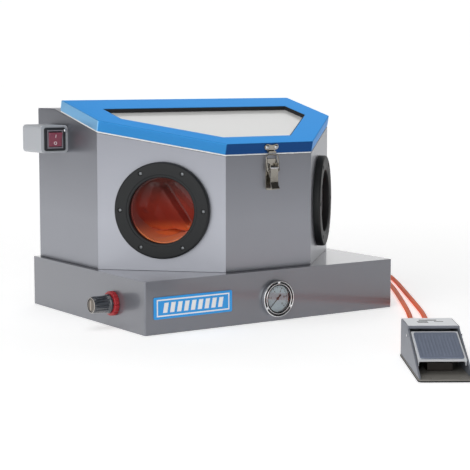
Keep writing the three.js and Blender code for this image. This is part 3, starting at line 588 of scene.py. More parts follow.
# ---- gloves ------------------------------------------------------
# Long gauntlets of orange-red rubber-coated cotton. The cuff is flat under the clamp; past the ring the
# sleeve has gone slack, so its upper wall hangs down in creases on the lower one; the hand lies beyond.
cuff_back, sleeve_end = -3.8, -232.0
cone_depths = (0, 0.16, 0.35, 0.52, 0.72, 0.86, 0.95, 1)
cone_radii = (63.8, 61.5, 57.5, 50, 43, 38, 27, 0)


def eased(value, low, high):
    """0 below low, 1 above high, and 3t^2 - 2t^3 between them."""
    t = np.clip((value - low) / (high - low), 0, 1)
    return t * t * (3 - 2 * t)


def fold_line(x, y, start, end, width):
    """A crease's depth at (x, y): 1 on the line from start to end and 0 at width from it, in a straight
    V, as a stiff coated cloth folds."""
    start, end = np.array(start, float), np.array(end, float)
    along = (end - start) / np.linalg.norm(end - start)
    away = abs((x - start[0]) * along[1] - (y - start[1]) * along[0])
    past = (x - start[0]) * along[0] + (y - start[1]) * along[1]
    length = np.linalg.norm(end - start)
    inside = eased(past, -6, 6) * (1 - eased(past, length - 6, length + 6))
    return np.clip(1 - away / width, 0, 1) * inside


def gauntlet(hand):
    """The sleeve and hand on a grid of depth and angle. At each depth the section is an ellipse inside a
    cone that narrows inwards: its foot stays on the cone's lowest line while its height shrinks, so the
    upper wall hangs down. Creases and slow ripples then move each point in or out along the depth."""
    depth = np.linspace(0, 1, 150)[:, None]
    angle = np.linspace(0, 2 * np.pi, 160, endpoint=False)[None, :]
    z = cuff_back + (sleeve_end - cuff_back) * depth
    cone = np.interp(depth, cone_depths, cone_radii)
    slack = eased(-z, 8, 84)
    palm = 0.42 * eased(-z, 120, 175) * (1 - eased(-z, 205, 232))
    high = cone * (1 - slack * (0.92 - palm))
    wide = cone * (1 - 0.10 * slack)
    low = -cone * (1 - 0.02 * slack)
    x = wide * np.cos(angle)
    y = low + high + high * np.sin(angle)
    upper = eased(np.sin(angle), -0.35, 0.3) * eased(-z, 6, 26)
    creases = (
        -17 * fold_line(hand * x, y, (-4, 48), (40, -34), 9)
        + 9 * fold_line(hand * x, y, (-22, 50), (-46, -6), 16)
        + 8 * fold_line(hand * x, y, (18, 52), (56, 6), 12)
        - 5 * fold_line(hand * x, y, (-30, 20), (6, -50), 18)
    )
    lower = eased(-np.sin(angle), 0.2, 0.9) * eased(-z, 5, 20)
    ripple = 2.4 * np.sin(3 * angle + 0.06 * z + hand) * np.sin(0.045 * z + 1.3) * slack
    lift = lower * (4.5 * np.abs(np.sin(2.5 * angle + 0.03 * z)) + 2.5 * np.sin(0.09 * z + 5 * angle)) * slack
    z_out = z + upper * creases + ripple * upper
    y = y + lift + 1.2 * np.sin(7 * angle + 0.11 * z) * slack * eased(-z, 20, 60)
    shrink = np.minimum(1, (cone - 0.2) / np.maximum(np.hypot(x, y), 1e-6))
    z_out = np.minimum(z_out, cuff_back)
    body = np.stack([x * shrink, y * shrink, z_out + 0 * x], -1)
    tip = np.repeat(body[-1:].mean(axis=1, keepdims=True), body.shape[1], axis=1)
    flange_radii = np.array([[87.5], [70.0]])
    flange = np.stack([
        flange_radii * np.cos(angle), flange_radii * np.sin(angle), np.full((2, angle.size), -3.2),
    ], -1)
    return np.concatenate([flange, body[:-1], tip])


# Rubber-dipped cotton: a deep orange-red, smooth and slightly glossy, with a grain of 1.2 mm from the
# cotton under it.
glove_rubber = coated(
    "orange_rubber_coated_cotton", "#7A1E15", "#96301E", 45, (0.38, 0.55), 1.2, 0.08,
    Sheen_Weight=0.15, Subsurface_Weight=0.1, Subsurface_Scale=0.006,
)
# Painted light and shade: the red goes to a bright orange from below the port's middle down, where light
# falls into the sleeve, and to a dark brown above it, where the ring shades it.
port_height = float(middle("left_port_ring")[2])
for start, end, tint in ((-22, -58, "#F98444"), (-5, 55, "#4A1A14")):
    share = height_share(
        glove_rubber, port_height + start, port_height + end, interpolation_type="SMOOTHSTEP"
    )
    toned(glove_rubber, [(share, tint)])
for side, hand in (("left", 1), ("right", -1)):
    grid = gauntlet(hand)
    glove = piece(f"{side}_gauntlet", ports[side](grid), quads(*grid.shape[:2]), glove_rubber, 60)
    wall = glove.modifiers.new("coated_cloth", "SOLIDIFY")
    wall.thickness = 1.2 * MM
    wall.offset = -1
    mounted(glove, "root", f"{side}_glove")

# ---- lid ---------------------------------------------------------
# A folded tray of sheet steel in blue powder coat, with a window let into it. The pane drops in from
# below on a black rubber edge and is held by a frame of flat strips. The black edge also lines the window's
# recess as painted shade.
rim_slope, rim_at_origin = 0.24, 379.12
slope_turn = math.atan(rim_slope)
slope_stretch = 1 / math.cos(slope_turn)


def on_rim(points):
    """Points drawn flat on the lid's underside, tilted up to the rear by the rim's slope."""
    c, s = math.cos(slope_turn), math.sin(slope_turn)
    return np.asarray(points, float) @ np.array([[1, 0, 0], [0, c, s], [0, -s, c]]) + (0, 0, rim_at_origin)


# Blue polyester powder coat, smoother and glossier than the grey, with a very fine metallic flake.
blue_enamel = coated(
    "blue_powder_coat", "#3A91D3", "#4399DA", 200, (0.26, 0.34), 1.8, 0.015,
    Metallic=0.85, Specular_IOR_Level=0.2, Specular_Tint=linear("#9CCBF4"),
)
# Painted light and shade: faces that look left are painted a paler blue, as lit, and faces that look forwards
# a much darker one, as shaded.
spray = blue_enamel.node_tree
face = add_node(spray, "SeparateXYZ", {0: add_node(spray, "TexCoord").outputs["Normal"]}).outputs
front_painted_shade = add_node(spray, "MapRange", {"Value": face["Y"], "From Min": -0.55, "From Max": -0.92})
left_painted_light = add_node(spray, "MapRange", {"Value": face["X"], "From Min": -0.85, "From Max": -0.95})
toned(blue_enamel, [(left_painted_light, "#9AD0F8"), (front_painted_shade, "#1F457A")])
folded("lid_tray", "lid_frame", "lid", blue_enamel, fold=2.2, broad=900, split=True)
# Laminated glass coloured off-white: hardly clear, and softly glossy.
off_white_pane = coated(
    "off_white_laminated_glass", "#F3F3F1", "#F6F6F4", 200, (0.3, 0.33), 3.0, 0.003,
    Transmission_Weight=0.05, Coat_Weight=0.3,
)
folded("pane_strips", "window_retainer", "lid", black_enamel, fold=0.5)

window = {"side": 229, "rear": 55, "front": -164, "diagonal": 246}
# Extruded EPDM rubber: black and matt, with a bloom that greys it a little.
black_rubber = coated("black_epdm_rubber", "#16171A", "#232427", 14, (0.6, 0.75), 0.8, 0.03)


def window_outline(inset):
    """The window's six corners, each side moved in by inset, with y stretched to lie on the slope."""
    side, rear = window["side"] - inset, window["rear"] - inset
    front, diagonal = window["front"] + inset, window["diagonal"] - inset * math.sqrt(2)
    right = np.array([(side, side - diagonal), (side, rear)])
    nose = np.array([(diagonal + front, front)])
    left = np.vstack([right, nose])[[1, 0, 2]] * (-1, 1)
    return np.vstack([nose, right, left]) * (1, slope_stretch)


def plate(name, outline, thick, place, material, body, edge=0.4):
    """A flat plate: its outline, raised by its thickness along the local z axis, with broken edges."""
    outline = np.asarray(outline, float)
    count = len(outline)
    points = np.vstack([np.column_stack([outline, np.full(count, z)]) for z in thick])
    sides = [(i, (i + 1) % count, count + (i + 1) % count, count + i) for i in range(count)]
    ends = [tuple(range(count)), tuple(range(count, 2 * count))]
    made = piece(name, place(points), [*ends, *sides], material)
    bevel = made.modifiers.new("broken_edges", "BEVEL")
    bevel.width = edge * MM
    bevel.segments = 3
    bevel.angle_limit = math.radians(40)
    flats = made.modifiers.new("flat_faces", "WEIGHTED_NORMAL")
    flats.weight = 90
    return mounted(made, body)


pane = plate("window_pane", window_outline(-10), (12.5, 16.5), on_rim, off_white_pane, "lid", 0.6)
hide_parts("window_glass")
# The black seal lines the walls of the window's recess, and so paints the shade that falls in that recess.
seal_section = rounded([(0.15, 16.9), (0.15, 24.2), (1.9, 24.2), (1.9, 16.9)], 0.5, closed=True)
seal = piece(
    "window_seal_painted_shade",
    on_rim([[(x, y, z) for x, y in window_outline(inset)] for inset, z in seal_section]),
    quads(len(seal_section), 6, True), black_rubber,
)
mounted(seal, "lid")

# ---- hinge -------------------------------------------------------
# A long butt hinge of bright steel: two pressed leaves whose knuckles take turns on one steel pin.
for node, body in (("hinge_leaf_cabin", "root"), ("hinge_leaf_lid", "lid"), ("hinge_pin", "root")):
    folded(node.replace("hinge", "butt_hinge"), node, body, bright_steel, fold=0.3, edge=0.2)

# ---- toggle latch ------------------------------------------------
# A draw latch of chromed steel: a pressed base plate with two ears, a bent-sheet lever, a wire loop in the
# lever, and on the lid a keeper plate with a hooked lip, held by two domed screws.
latch_middle, panel_front = 4.0, -210.5
# Bright chrome plate on pressed steel: nearly a mirror, warm in its shadows, with faint draw marks.
chrome = coated("bright_chrome_plate", "#7F7B74", "#A8A49C", 7, (0.1, 0.22), 1.6, 0.02, Metallic=1.0)
on_latch = facing((latch_middle, panel_front, 0), (0, -1, 0))
folded("latch_back_plate", "latch_base_plate", "root", chrome, fold=0.5, edge=0.3)
folded("latch_bent_lever", "latch_lever", "latch_lever", chrome, fold=0.9, edge=0.4, broad=60)
loop_pivot, loop_half, loop_top, loop_wire, loop_bend = 296.0, 14.0, 329.4, 1.4, 6.0


def wire_loop(loop_out=8.5, top_out=3.6):
    """The loop's centre line: in at the pivot, up one side, round a corner, and the same mirrored. Its
    distance from the panel falls evenly from the pivot to the top."""
    corner = np.linspace(0, np.pi / 2, 9)
    low_x, low_y = loop_half - 3 + 3 * np.sin(corner), loop_pivot + 3 - 3 * np.cos(corner)
    high_x = loop_half - loop_bend + loop_bend * np.cos(corner)
    high_y = loop_top - loop_bend + loop_bend * np.sin(corner)
    side = np.stack([np.r_[pivot_width, low_x, high_x], np.r_[loop_pivot, low_y, high_y]], -1)
    flat = np.vstack([side, side[::-1] * (-1, 1)])
    out = loop_out + (top_out - loop_out) * (flat[:, 1] - loop_pivot) / (loop_top - loop_pivot)
    return np.column_stack([flat, out])


wire_sides, pivot_width = 16, 9.8
grid, faces = swept(wire_loop(), loop_wire, wire_sides, reference=(0, 0.138, 0.99))
loop = piece("latch_wire_loop", on_latch(grid), faces, chrome, 60)
mounted(loop, "latch_loop", "latch_loop")


def arc(x, y, radius, start, end, steps=9):
    """Points on a circle about (x, y), from one angle to another in degrees."""
    angle = np.radians(np.linspace(start, end, steps))
    return [(x + radius * math.cos(a), y + radius * math.sin(a)) for a in angle]


keeper_x, lid_front = 2.0, panel_front * slope_stretch


def on_keeper(points):
    """Local x across, y up the lid's front flange, z out of it, then tilted with the rim."""
    flat = np.asarray(points, float)
    return on_rim(np.stack([flat[..., 0] + keeper_x, lid_front - flat[..., 2], flat[..., 1]], -1))


keeper_outline = [
    *arc(10.5, 16.5, 6.2, -60, 120), (0, 20.4), *arc(-10.5, 16.5, 6.2, 60, 240),
    (-9, 10.5), (-9, 6.9), (9, 6.9), (9, 10.5),
]
keeper_plate = plate(
    "latch_keeper_plate", keeper_outline, (0.4, 1.8), on_keeper, chrome, "lid"
)
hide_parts("latch_keeper")
lip_side = rounded([(6.9, 0.4), (5.5, 0.4), (5.5, 6.4), (9.4, 6.4), (9.4, 5.1), (6.9, 5.1)], 0.7, closed=True)
lip_x = np.array([-9.0, -9.0, 9.0, 9.0])
lip_size = np.array([0.0, 1.0, 1.0, 0.0])
heart = lip_side.mean(axis=0)
lip_grid = np.stack([
    np.column_stack([np.full(len(lip_side), x), heart + (lip_side - heart) * size])
    for x, size in zip(lip_x, lip_size)
])
lip = piece("latch_keeper_lip", on_keeper(lip_grid), quads(4, len(lip_side)), chrome, 40)
mounted(lip, "lid")
screws(
    "latch_keeper_screws", "lid",
    [lambda head, x=x: on_keeper(head + (x, 16.5, 1.7)) for x in (-10.5, 10.5)],
    [crossed_head(4.2, 2.8)] * 2,
)
# The lever's top is rolled round its pin: a bright bead across the whole lever.
bead_profile = rounded([(0, -9.2), (2.1, -9.2), (2.1, 9.2), (0, 9.2)], 0.8)
bead_grid = lathe(bead_profile, 32)[..., [2, 1, 0]] + (0, loop_pivot + 7.6, 11.4)
bead = piece("latch_lever_bead", on_latch(bead_grid), quads(len(bead_profile), 32), bright_steel, 50)
mounted(bead, "latch_lever")

# ---- lamp switch -------------------------------------------------
# A pale grey moulded box on the cabin's left side, with a black snap-in bezel and a red rocker in it.
# The rocker's two marks, a bar and a ring, are moulded proud and filled with pale ink.

# Injection-moulded ABS: pale grey, fine spark-eroded texture, evenly coloured.
grey_abs = coated("grey_moulded_abs", "#ABAEB3", "#B3B6BB", 50, (0.42, 0.5), 0.9, 0.03)
# Polycarbonate, tinted red and polished by its mould, so that it glows at its edges.
red_plastic = coated(
    "red_polycarbonate", "#7C3A4B", "#8E4858", 16, (0.16, 0.24), 3.0, 0.01,
    Subsurface_Weight=0.2, Subsurface_Scale=0.003, Coat_Weight=0.4,
)
# Pad-printed ink: pale, thin and slightly matt.
pale_ink = coated("pale_print_ink", "#D9C3C8", "#E6D5D8", 5, (0.5, 0.6), 0.6, 0.01)
# The housing's plastic in black, with a half gloss.
black_abs = coated("black_moulded_abs", "#1A1B1E", "#242529", 20, (0.28, 0.4), 0.8, 0.03)
folded("switch_housing", "switch_box", "root", grey_abs, fold=3.0, edge=0.4)
folded("switch_snap_bezel", "switch_bezel", "root", black_abs, fold=0.9, edge=0.3, broad=60)
folded("switch_rocker_cap", "switch_rocker", "switch_rocker", red_plastic, fold=0.9, broad=60)
switch_middle, switch_front = middle("switch_box"), box_mm("switch_box")[0][1]
switch_place = facing((switch_middle[0], switch_front, switch_middle[2]), (0, -1, 0))
rocker_tip, rocker_axis_out, rocker_crown, rocker_rise = math.radians(10), 2.0, 2.62, 2 / 14.3


def on_rocker(points):
    """Local x across, y up and z out of the rocker's face, which rises from its middle to both ends and is
    tipped about its pivot."""
    flat = np.asarray(points, float)
    c, s = math.cos(rocker_tip), math.sin(rocker_tip)
    y = flat[..., 1]
    z = rocker_crown + np.abs(y) * rocker_rise + flat[..., 2]
    return switch_place(np.stack([flat[..., 0], y * c - z * s, y * s + z * c + rocker_axis_out], -1))


def raised_blocks(outlines, low, high):
    """Flat blocks with four corners each: every outline at both heights, and the six faces between."""
    outlines = np.asarray(outlines, float)
    levels = [np.concatenate([outlines, np.full((*outlines.shape[:2], 1), z)], -1) for z in (low, high)]
    box = np.array([(0, 1, 2, 3), (4, 5, 6, 7), (0, 1, 5, 4), (1, 2, 6, 5), (2, 3, 7, 6), (3, 0, 4, 7)])
    faces = box[None] + 8 * np.arange(len(outlines))[:, None, None]
    return np.concatenate(levels, axis=1).reshape(-1, 3), faces.reshape(-1, 4)


mark_low, mark_high, mark_turns = -0.2, 0.35, 40
ring_section = [(2.2, mark_low), (3.3, mark_low), (3.3, mark_high), (2.2, mark_high)]
ring_mark = (lathe(ring_section, mark_turns) + (0, -7.4, 0)).reshape(-1, 3)
bar, bar_faces = raised_blocks([[(-0.6, 3.9), (0.6, 3.9), (0.6, 10.4), (-0.6, 10.4)]], mark_low, mark_high)
mark_faces = quads(4, mark_turns, True) + (bar_faces + len(ring_mark)).tolist()
marks = piece("switch_marks", on_rocker(np.vstack([ring_mark, bar])), mark_faces, pale_ink)
mounted(marks, "switch_rocker")


def frame_strip(half_width, half_height, wide, low, rise=0.12):
    """A rectangular border: an outer and an inner rectangle, raised a hair and joined all round."""
    corners = np.array([(-1, -1), (1, -1), (1, 1), (-1, 1)])
    sizes = [(half_width, half_height), (half_width - wide, half_height - wide)]
    rows = [(sizes[i], z) for i, z in ((0, low), (0, low + rise), (1, low + rise), (1, low))]
    return np.stack([np.column_stack([corners * size, np.full(4, z)]) for size, z in rows])


# The snap-in frame's inner lip: the same plastic, a paler grey than the bezel.
worn_lip = coated("worn_grey_abs", "#77717A", "#8A838B", 9, (0.25, 0.4), 0.8, 0.02)
lip_frame = piece(
    "switch_inner_lip", switch_place(frame_strip(17.4, 18.4, 2.2, 3.2, 0.9)), quads(4, 4, True), worn_lip
)
mounted(lip_frame, "root")
screw_spot = (23.2, 17.5, 3.0)
screws("switch_screw", "root", [lambda head: switch_place(head + screw_spot)], [crossed_head(3.4, 2.4)])

# ---- air regulator -----------------------------------------------
# A die-cast regulator stands behind the base's left side: a red ribbed ring nut holds it to the sheet, and
# a black fluted knob turns its brass spindle. A grey-brown cap with a raised key closes the knob's end.
left_panel = -300.0
on_regulator = facing((left_panel, *middle("regulator_ring_nut")[1:]), (-1, 0, 0))
# Acetal, moulded in red: waxy, half glossy.
red_acetal = coated("red_acetal", "#9A1F27", "#B22C33", 10, (0.28, 0.4), 1.2, 0.03, Subsurface_Weight=0.1)
ring_nut_ribs, knob_flutes, nut_turns, knob_turns = 18, 12, 280, 240
nut_profile = rounded(
    [(15.4, 0.4), (23.6, 0.4), (24, 1.8), (24, 8.4), (23.2, 10.8), (18.9, 10.8), (18.4, 9.4), (15.4, 9.4)],
    0.5, closed=True,
)


def ribbed(profile, segments, count, depth, low, high, sharp=1.0, beyond=0):
    """How far a ribbed outside swells: 1 less depth times the absolute sine of half the ribs' angle, only
    between two heights and outside a radius."""
    turn = np.linspace(0, 2 * np.pi, segments, endpoint=False)
    wave = np.abs(np.sin(turn * count / 2)) ** sharp
    z, r = profile[:, 1], profile[:, 0]
    where = (eased(z, low, low + 1.2) * (1 - eased(z, high - 1.2, high)) * (r > beyond))[:, None]
    return 1 - depth / np.maximum(r[:, None], 1) * where * (1 - wave)


nut_swell = ribbed(nut_profile, nut_turns, ring_nut_ribs, 2.6, -1, 12.5, 0.35, 18.6)
turned_part(
    "regulator_nut", nut_profile, nut_turns, on_regulator, red_acetal, "root",
    "regulator_ring_nut", nut_swell, closed=True,
)

# Polished phenolic: black, with a wet gloss that catches the light along each flute. Its black is lifted
# towards dark grey as a painted highlight.
gloss_black = coated(
    "polished_black_phenolic", "#2A2E34", "#363B42", 18, (0.12, 0.2), 1.5, 0.02,
    Coat_Weight=1.0, Coat_Roughness=0.06,
)
wall_heights = [(16.6, z) for z in np.linspace(20, 45, 8)]
knob_profile = rounded([
    (0, 38), (4.4, 38), (4.4, 24), (15.8, 24), (15.8, 11.7), (18.2, 11.7), (19, 12.4), (19, 15), (17.4, 17),
    *wall_heights, (15.6, 49.6), (14, 50.9), (12.6, 50.9), (12.2, 49.2), (0, 49.2),
], 0.5)
knob_swell = ribbed(knob_profile, knob_turns, knob_flutes, 1.6, 17.5, 48, 0.4, 15)
turned_part(
    "regulator_handwheel", knob_profile, knob_turns, on_regulator, gloss_black, "regulator_knob",
    "regulator_knob", knob_swell,
)

# Moulded nylon: a matt grey-brown cap, with a paler key and rim.
brown_nylon = coated("grey_brown_nylon", "#6A625A", "#7C746B", 8, (0.4, 0.55), 1.0, 0.04)
cap_profile = [
    (0, 50.3), (3, 50.3), (6, 50.3), (8, 50.3), (10, 50.3), (11.2, 50.2), (11.9, 49.9), (12, 49.6),
    (12, 49.3), (0, 49.3),
]
cap_turns = 120
turned_part(
    "regulator_knob_cap", cap_profile, cap_turns, on_regulator, brown_nylon, "regulator_knob",
    smooth=35,
)
# The same nylon, paler.
pale_nylon = coated("pale_grey_nylon", "#A79F95", "#BDB5AA", 6, (0.35, 0.5), 0.8, 0.03)
key_outline = [*arc(0, 8.2, 1.5, 0, 180), *arc(0, -8.2, 1.5, 180, 360)]
plate(
    "regulator_cap_key", key_outline, (50.1, 51.2), on_regulator, pale_nylon, "regulator_knob"
)
rim_line = rounded([(14.0, 49.4), (15.1, 49.4), (14.6, 50.6), (14.0, 50.9)], 0.2, closed=True)
turned_part(
    "regulator_cap_rim", rim_line + (0.15, 0.15), cap_turns, on_regulator, pale_nylon, "regulator_knob",
    closed=True,
)

# Pressure die-cast zinc alloy: grey, bead-blasted, with the soft grain of the blasting.
cast_grey = coated("bead_blasted_casting", "#A9ABB1", "#B7B9BF", 12, (0.42, 0.56), 1.1, 0.08, Metallic=0.35)
# Turned brass: warm yellow with fine tool marks, tarnished a little in patches.
brass = coated("turned_brass", "#A8863A", "#C9A756", 6, (0.25, 0.42), 0.5, 0.02, Metallic=1.0)
folded("regulator_casting", "regulator_body", "root", cast_grey, fold=0.6)
folded("regulator_brass_spindle", "regulator_spindle", "regulator_spindle", brass, fold=0.3)

# ---- pressure gauge ----------------------------------------------
# A panel gauge in the base's front: a black case with a polished chrome rim, three clamping lugs in the
# rim's channel, a flat glass, and a white dial with black print and a slim black needle.
gauge_middle, gauge_rear = middle("gauge_bezel"), box_mm("gauge_bezel")[1][1]
on_gauge = facing((gauge_middle[0], gauge_rear + 0.3, gauge_middle[2]), (0, -1, 0))
# Polished chrome plate: a clear, cool mirror.
polished_chrome = coated(
    "polished_chrome_rim", "#C9CBCD", "#E2E3E4", 9, (0.06, 0.14), 2.0, 0.01, Metallic=1.0
)
inner_rim = rounded(
    [(28.75, 0.4), (30.7, 0.4), (30.7, 10.2), (30.1, 11), (29.3, 11), (28.75, 10.2)], 0.5, closed=True
)
outer_rim = rounded([
    (30.9, 0.4), (36.4, 0.4), (36.5, 9.2), (35.9, 10.6), (34.9, 11), (34.1, 10.4), (33.9, 6), (30.9, 6),
], 0.6, closed=True)
rim_turns, channel_turns, hub_turns = 144, 96, 48
for name, profile in (("gauge_inner_rim", inner_rim), ("gauge_outer_rim", outer_rim)):
    rim = turned_part(
        name, profile, rim_turns, on_gauge, polished_chrome, "root", closed=True
    )
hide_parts("gauge_bezel")
channel_profile = [(30.75, 6.1), (33.85, 6.1), (33.85, 6.5), (30.75, 6.5)]
turned_part(
    "gauge_channel", channel_profile, channel_turns, on_gauge, black_abs, "root",
    closed=True, smooth=38,
)
for i, clock in enumerate((90, 210, 330)):
    outline = [*arc(0, 0, 30.4, clock - 5, clock + 5, 6), *arc(0, 0, 34.4, clock + 5, clock - 5, 6)]
    plate(f"gauge_lug_{i + 1}", outline, (5.8, 10.4), on_gauge, polished_chrome, "root", 0.6)
folded("gauge_cup", "gauge_case", "root", black_enamel, fold=0.5)

# Screen-printed aluminium: a silver-white matt ground with sharp black print.
dial_white = coated("printed_dial_white", "#D0DDEA", "#D9E4EF", 30, (0.5, 0.6), 1.0, 0.005)
# Screen ink: black and matt.
black_ink = coated("black_print_ink", "#1C1E22", "#25272B", 4, (0.5, 0.6), 0.6, 0.003)
folded("gauge_dial_plate", "gauge_dial", "root", dial_white, fold=0.2, edge=0.15)
dial_top, print_rise = 3.85, 0.12
sweep_start, sweep_end, dial_steps = 225.0, -45.0, 50


def scale_angle(share):
    """The angle at a share of the scale, from its start to its end."""
    return np.radians(sweep_start + (sweep_end - sweep_start) * share)


def dial_ticks():
    """One small bar per step of the scale, longer at each tenth and middling at each fifth: its corners
    lie along and across the step's angle."""
    step = np.arange(dial_steps + 1)
    turn = scale_angle(step / dial_steps)
    inner = np.where(step % 10 == 0, 19.4, np.where(step % 5 == 0, 20.8, 22.2))
    half = np.where(step % 10 == 0, 0.55, 0.3)
    radius = np.stack([inner, inner, np.full(step.shape, 24.2), np.full(step.shape, 24.2)], -1)
    across = np.stack([-half, half, half, -half], -1)
    x = radius * np.cos(turn)[:, None] - across * np.sin(turn)[:, None]
    y = radius * np.sin(turn)[:, None] + across * np.cos(turn)[:, None]
    return np.stack([x, y], -1)


def printed(name, outlines, low, high, place, material):
    """A print that stands a hair proud: a row of flat blocks on a fixed part."""
    points, faces = raised_blocks(outlines, low, high)
    return mounted(piece(name, place(points), faces.tolist(), material), "root")


printed("gauge_ticks", dial_ticks(), dial_top, dial_top + print_rise, on_gauge, black_ink)


def lettering(text, size, x, y, z, place):
    """The text as flat raised faces: made from the built-in font, laid out about (x, y) at height z."""
    curve = bpy.data.curves.new("print", "FONT")
    curve.body, curve.size, curve.extrude = text, size, print_rise / 2
    curve.align_x, curve.align_y = "CENTER", "CENTER"
    holder = bpy.data.objects.new("print", curve)
    bpy.context.scene.collection.objects.link(holder)
    bpy.context.view_layer.update()
    shape = bpy.data.meshes.new_from_object(holder.evaluated_get(bpy.context.evaluated_depsgraph_get()))
    points = np.array([v.co for v in shape.vertices]) + (x, y, z + print_rise / 2)
    faces = [tuple(face.vertices) for face in shape.polygons]
    bpy.data.objects.remove(holder)
    return place(points), faces


points, faces, start = [], [], 0
number_circle, number_size = 15.8, 5.6
for i in range(6):
    turn = scale_angle(i / 5)
    x, y = number_circle * math.cos(turn), number_circle * math.sin(turn)
    spot, shape = lettering(str(2 * i), number_size, x, y, dial_top, on_gauge)
    points.append(spot)
    faces += [tuple(corner + start for corner in face) for face in shape]
    start += len(spot)
numbers = piece("gauge_numbers", np.vstack(points), faces, black_ink)
mounted(numbers, "root")

needle_turn = math.radians(45)
c, s = math.cos(needle_turn), math.sin(needle_turn)
blade = np.array([
    (-21.5, -0.25), (-21.5, 0.25), (-2, 1.0), (3, 1.0), (9, 2.0), (10.5, 1.6), (10.5, -1.6), (9, -2.0),
    (3, -1.0), (-2, -1.0),
]) @ np.array([[c, s], [-s, c]])
needle = plate("gauge_pointer", blade, (4.4, 5.1), on_gauge, black_ink, "gauge_needle", 0.12)
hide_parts("gauge_needle")
hub_profile = rounded([(0, 4.1), (2.8, 4.1), (2.8, 5.6), (2.0, 6.2), (0, 6.2)], 0.4)
turned_part(
    "gauge_hub", hub_profile, hub_turns, on_gauge, black_abs, "gauge_needle", smooth=38
)

# Flat float glass, clear, with a faint green edge.
clear_glass = coated(
    "clear_float_glass", "#F4F8F6", "#FBFDFC", 40, (0.02, 0.05), 5.0, 0.001, Transmission_Weight=1.0, IOR=1.5
)
folded("gauge_glass", "gauge_lens", "root", clear_glass, fold=0.3)

# ---- nameplate ---------------------------------------------------
# A printed aluminium plate with a blue ground. Its print is a plain white border and a row of slanted
# bars, and says nothing.
plate_middle, plate_rear = middle("nameplate"), box_mm("nameplate")[1][1]
on_nameplate = facing((plate_middle[0], plate_rear, plate_middle[2]), (0, -1, 0))
# Screen print under a clear film: an even, bright blue, and a flat white.
sky_blue = coated("printed_sky_blue", "#1296E6", "#20A0EC", 60, (0.3, 0.4), 2.0, 0.005, Coat_Weight=0.3)
label_white = coated("printed_white", "#EDEFF0", "#F7F8F8", 30, (0.4, 0.5), 2.0, 0.003)
folded("nameplate_sheet", "nameplate", "root", sky_blue, fold=0.3, edge=0.2)
label_face = 1.22
border_grid = on_nameplate(frame_strip(82, 16.5, 2.6, label_face))
mounted(piece("nameplate_border", border_grid, quads(4, 4, True), label_white), "root")
slant = np.array([(-6.5, -9.5), (3, -9.5), (6.5, 9.5), (-3, 9.5)])
bars = [slant + (x, 0) for x in np.arange(-62, 63, 15.5)]
print_face = label_face + print_rise
printed("nameplate_bars", bars, label_face, print_face, on_nameplate, label_white)

# ---- lamp, blast gun and rear fittings ---------------------------
# Inside the cabin a tray lamp hangs under the rear cover and a steel gun with a ceramic nozzle stands in a
# galvanised bracket. Behind are a brass hose tail for the air and a black collar for the dust hose.
# Opal acrylic: milky, and a little clear.
milk_lens = coated(
    "opal_lamp_cover", "#E9ECEC", "#F3F5F5", 60, (0.3, 0.4), 2.0, 0.01, Transmission_Weight=0.3
)
# Sintered alumina: off-white and matt.
alumina = coated("sintered_alumina", "#D8D0C0", "#E8E1D3", 8, (0.55, 0.7), 0.5, 0.03)
folded("lamp_tray", "lamp_housing", "root", grey_abs, fold=1.2)
folded("lamp_cover", "lamp_lens", "root", milk_lens, fold=0.8)
folded("gun_bracket", "nozzle_bracket", "root", zinc, fold=1.5)
folded("gun_body", "blast_gun_body", "root", bright_steel, fold=0.5)
folded("gun_nozzle", "blast_nozzle", "root", alumina, fold=0.4)
folded("air_hose_tail", "air_inlet", "root", brass, fold=0.5)
folded("dust_hose_collar", "dust_outlet", "root", black_nylon, fold=0.8)

# ---- foot valve --------------------------------------------------
# A treadle valve: a cast box that slopes to the front and is covered at the rear, a treadle hinged under
# the cover on a steel pin, a ribbed rubber pad, and a plunger and spring over the valve block.

# Aluminium casting, sprayed light grey: soft sheen and a slightly sandy skin. Its colour is darkened overall
# as painted shade for its sides.
cast_paint = coated("painted_casting", "#757983", "#80848D", 18, (0.36, 0.5), 1.4, 0.07, Metallic=0.25)
# Nitrile rubber: blue-grey and dull, with a coarse grain.
pad_rubber = coated("blue_grey_rubber", "#6A7386", "#7B8497", 14, (0.6, 0.78), 1.1, 0.12)
# Primed steel plate, mid grey.
plate_grey = coated("primed_steel_plate", "#7F7C76", "#918E88", 16, (0.5, 0.62), 1.2, 0.05, Metallic=0.2)
# Painted shade: the valve block stands in the box's dark hollow and is coloured a dull brown black.
valve_block_shade = coated("valve_block_painted_shade", "#2B2622", "#38322D", 10, (0.4, 0.55), 0.8, 0.03, Metallic=0.3)
folded("foot_valve_box", "pedal_housing", "root", cast_paint, fold=1.8, edge=0.7, broad=1200)
folded("foot_valve_plate", "pedal_base_plate", "root", plate_grey, fold=0.9, edge=0.6)
# Anodised sheet: nearly white, with a soft even sheen.
pale_sheet = coated("anodised_sheet", "#DFE2E7", "#EDEFF2", 20, (0.34, 0.46), 1.0, 0.02, Metallic=0.2)
folded("treadle_plate", "pedal_treadle", "treadle", pale_sheet, fold=1.2, edge=0.5, broad=400)
folded("treadle_pin", "pedal_pivot_pin", "root", bright_steel, fold=0.5)
folded("lock_stud", "pedal_lock_stud", "root", bright_steel, fold=0.5)
folded("valve_block", "pedal_valve_body", "root", valve_block_shade, fold=0.8)
folded("valve_stem", "pedal_valve_plunger", "valve_plunger", bright_steel, fold=0.4)
folded("treadle_pad", "pedal_treadle_pad", "treadle", pad_rubber, fold=0.8, edge=0.6)

treadle_slope, treadle_pivot = math.radians(18.4), np.array([0, 20, 52])


def on_treadle(points):
    """Points drawn flat on the treadle, tilted about its pin and put on the foot valve."""
    c, s = math.cos(treadle_slope), math.sin(treadle_slope)
    tilted = np.asarray(points, float) @ np.array([[1, 0, 0], [0, c, s], [0, -s, c]]) + treadle_pivot
    return on_pedal(tilted)


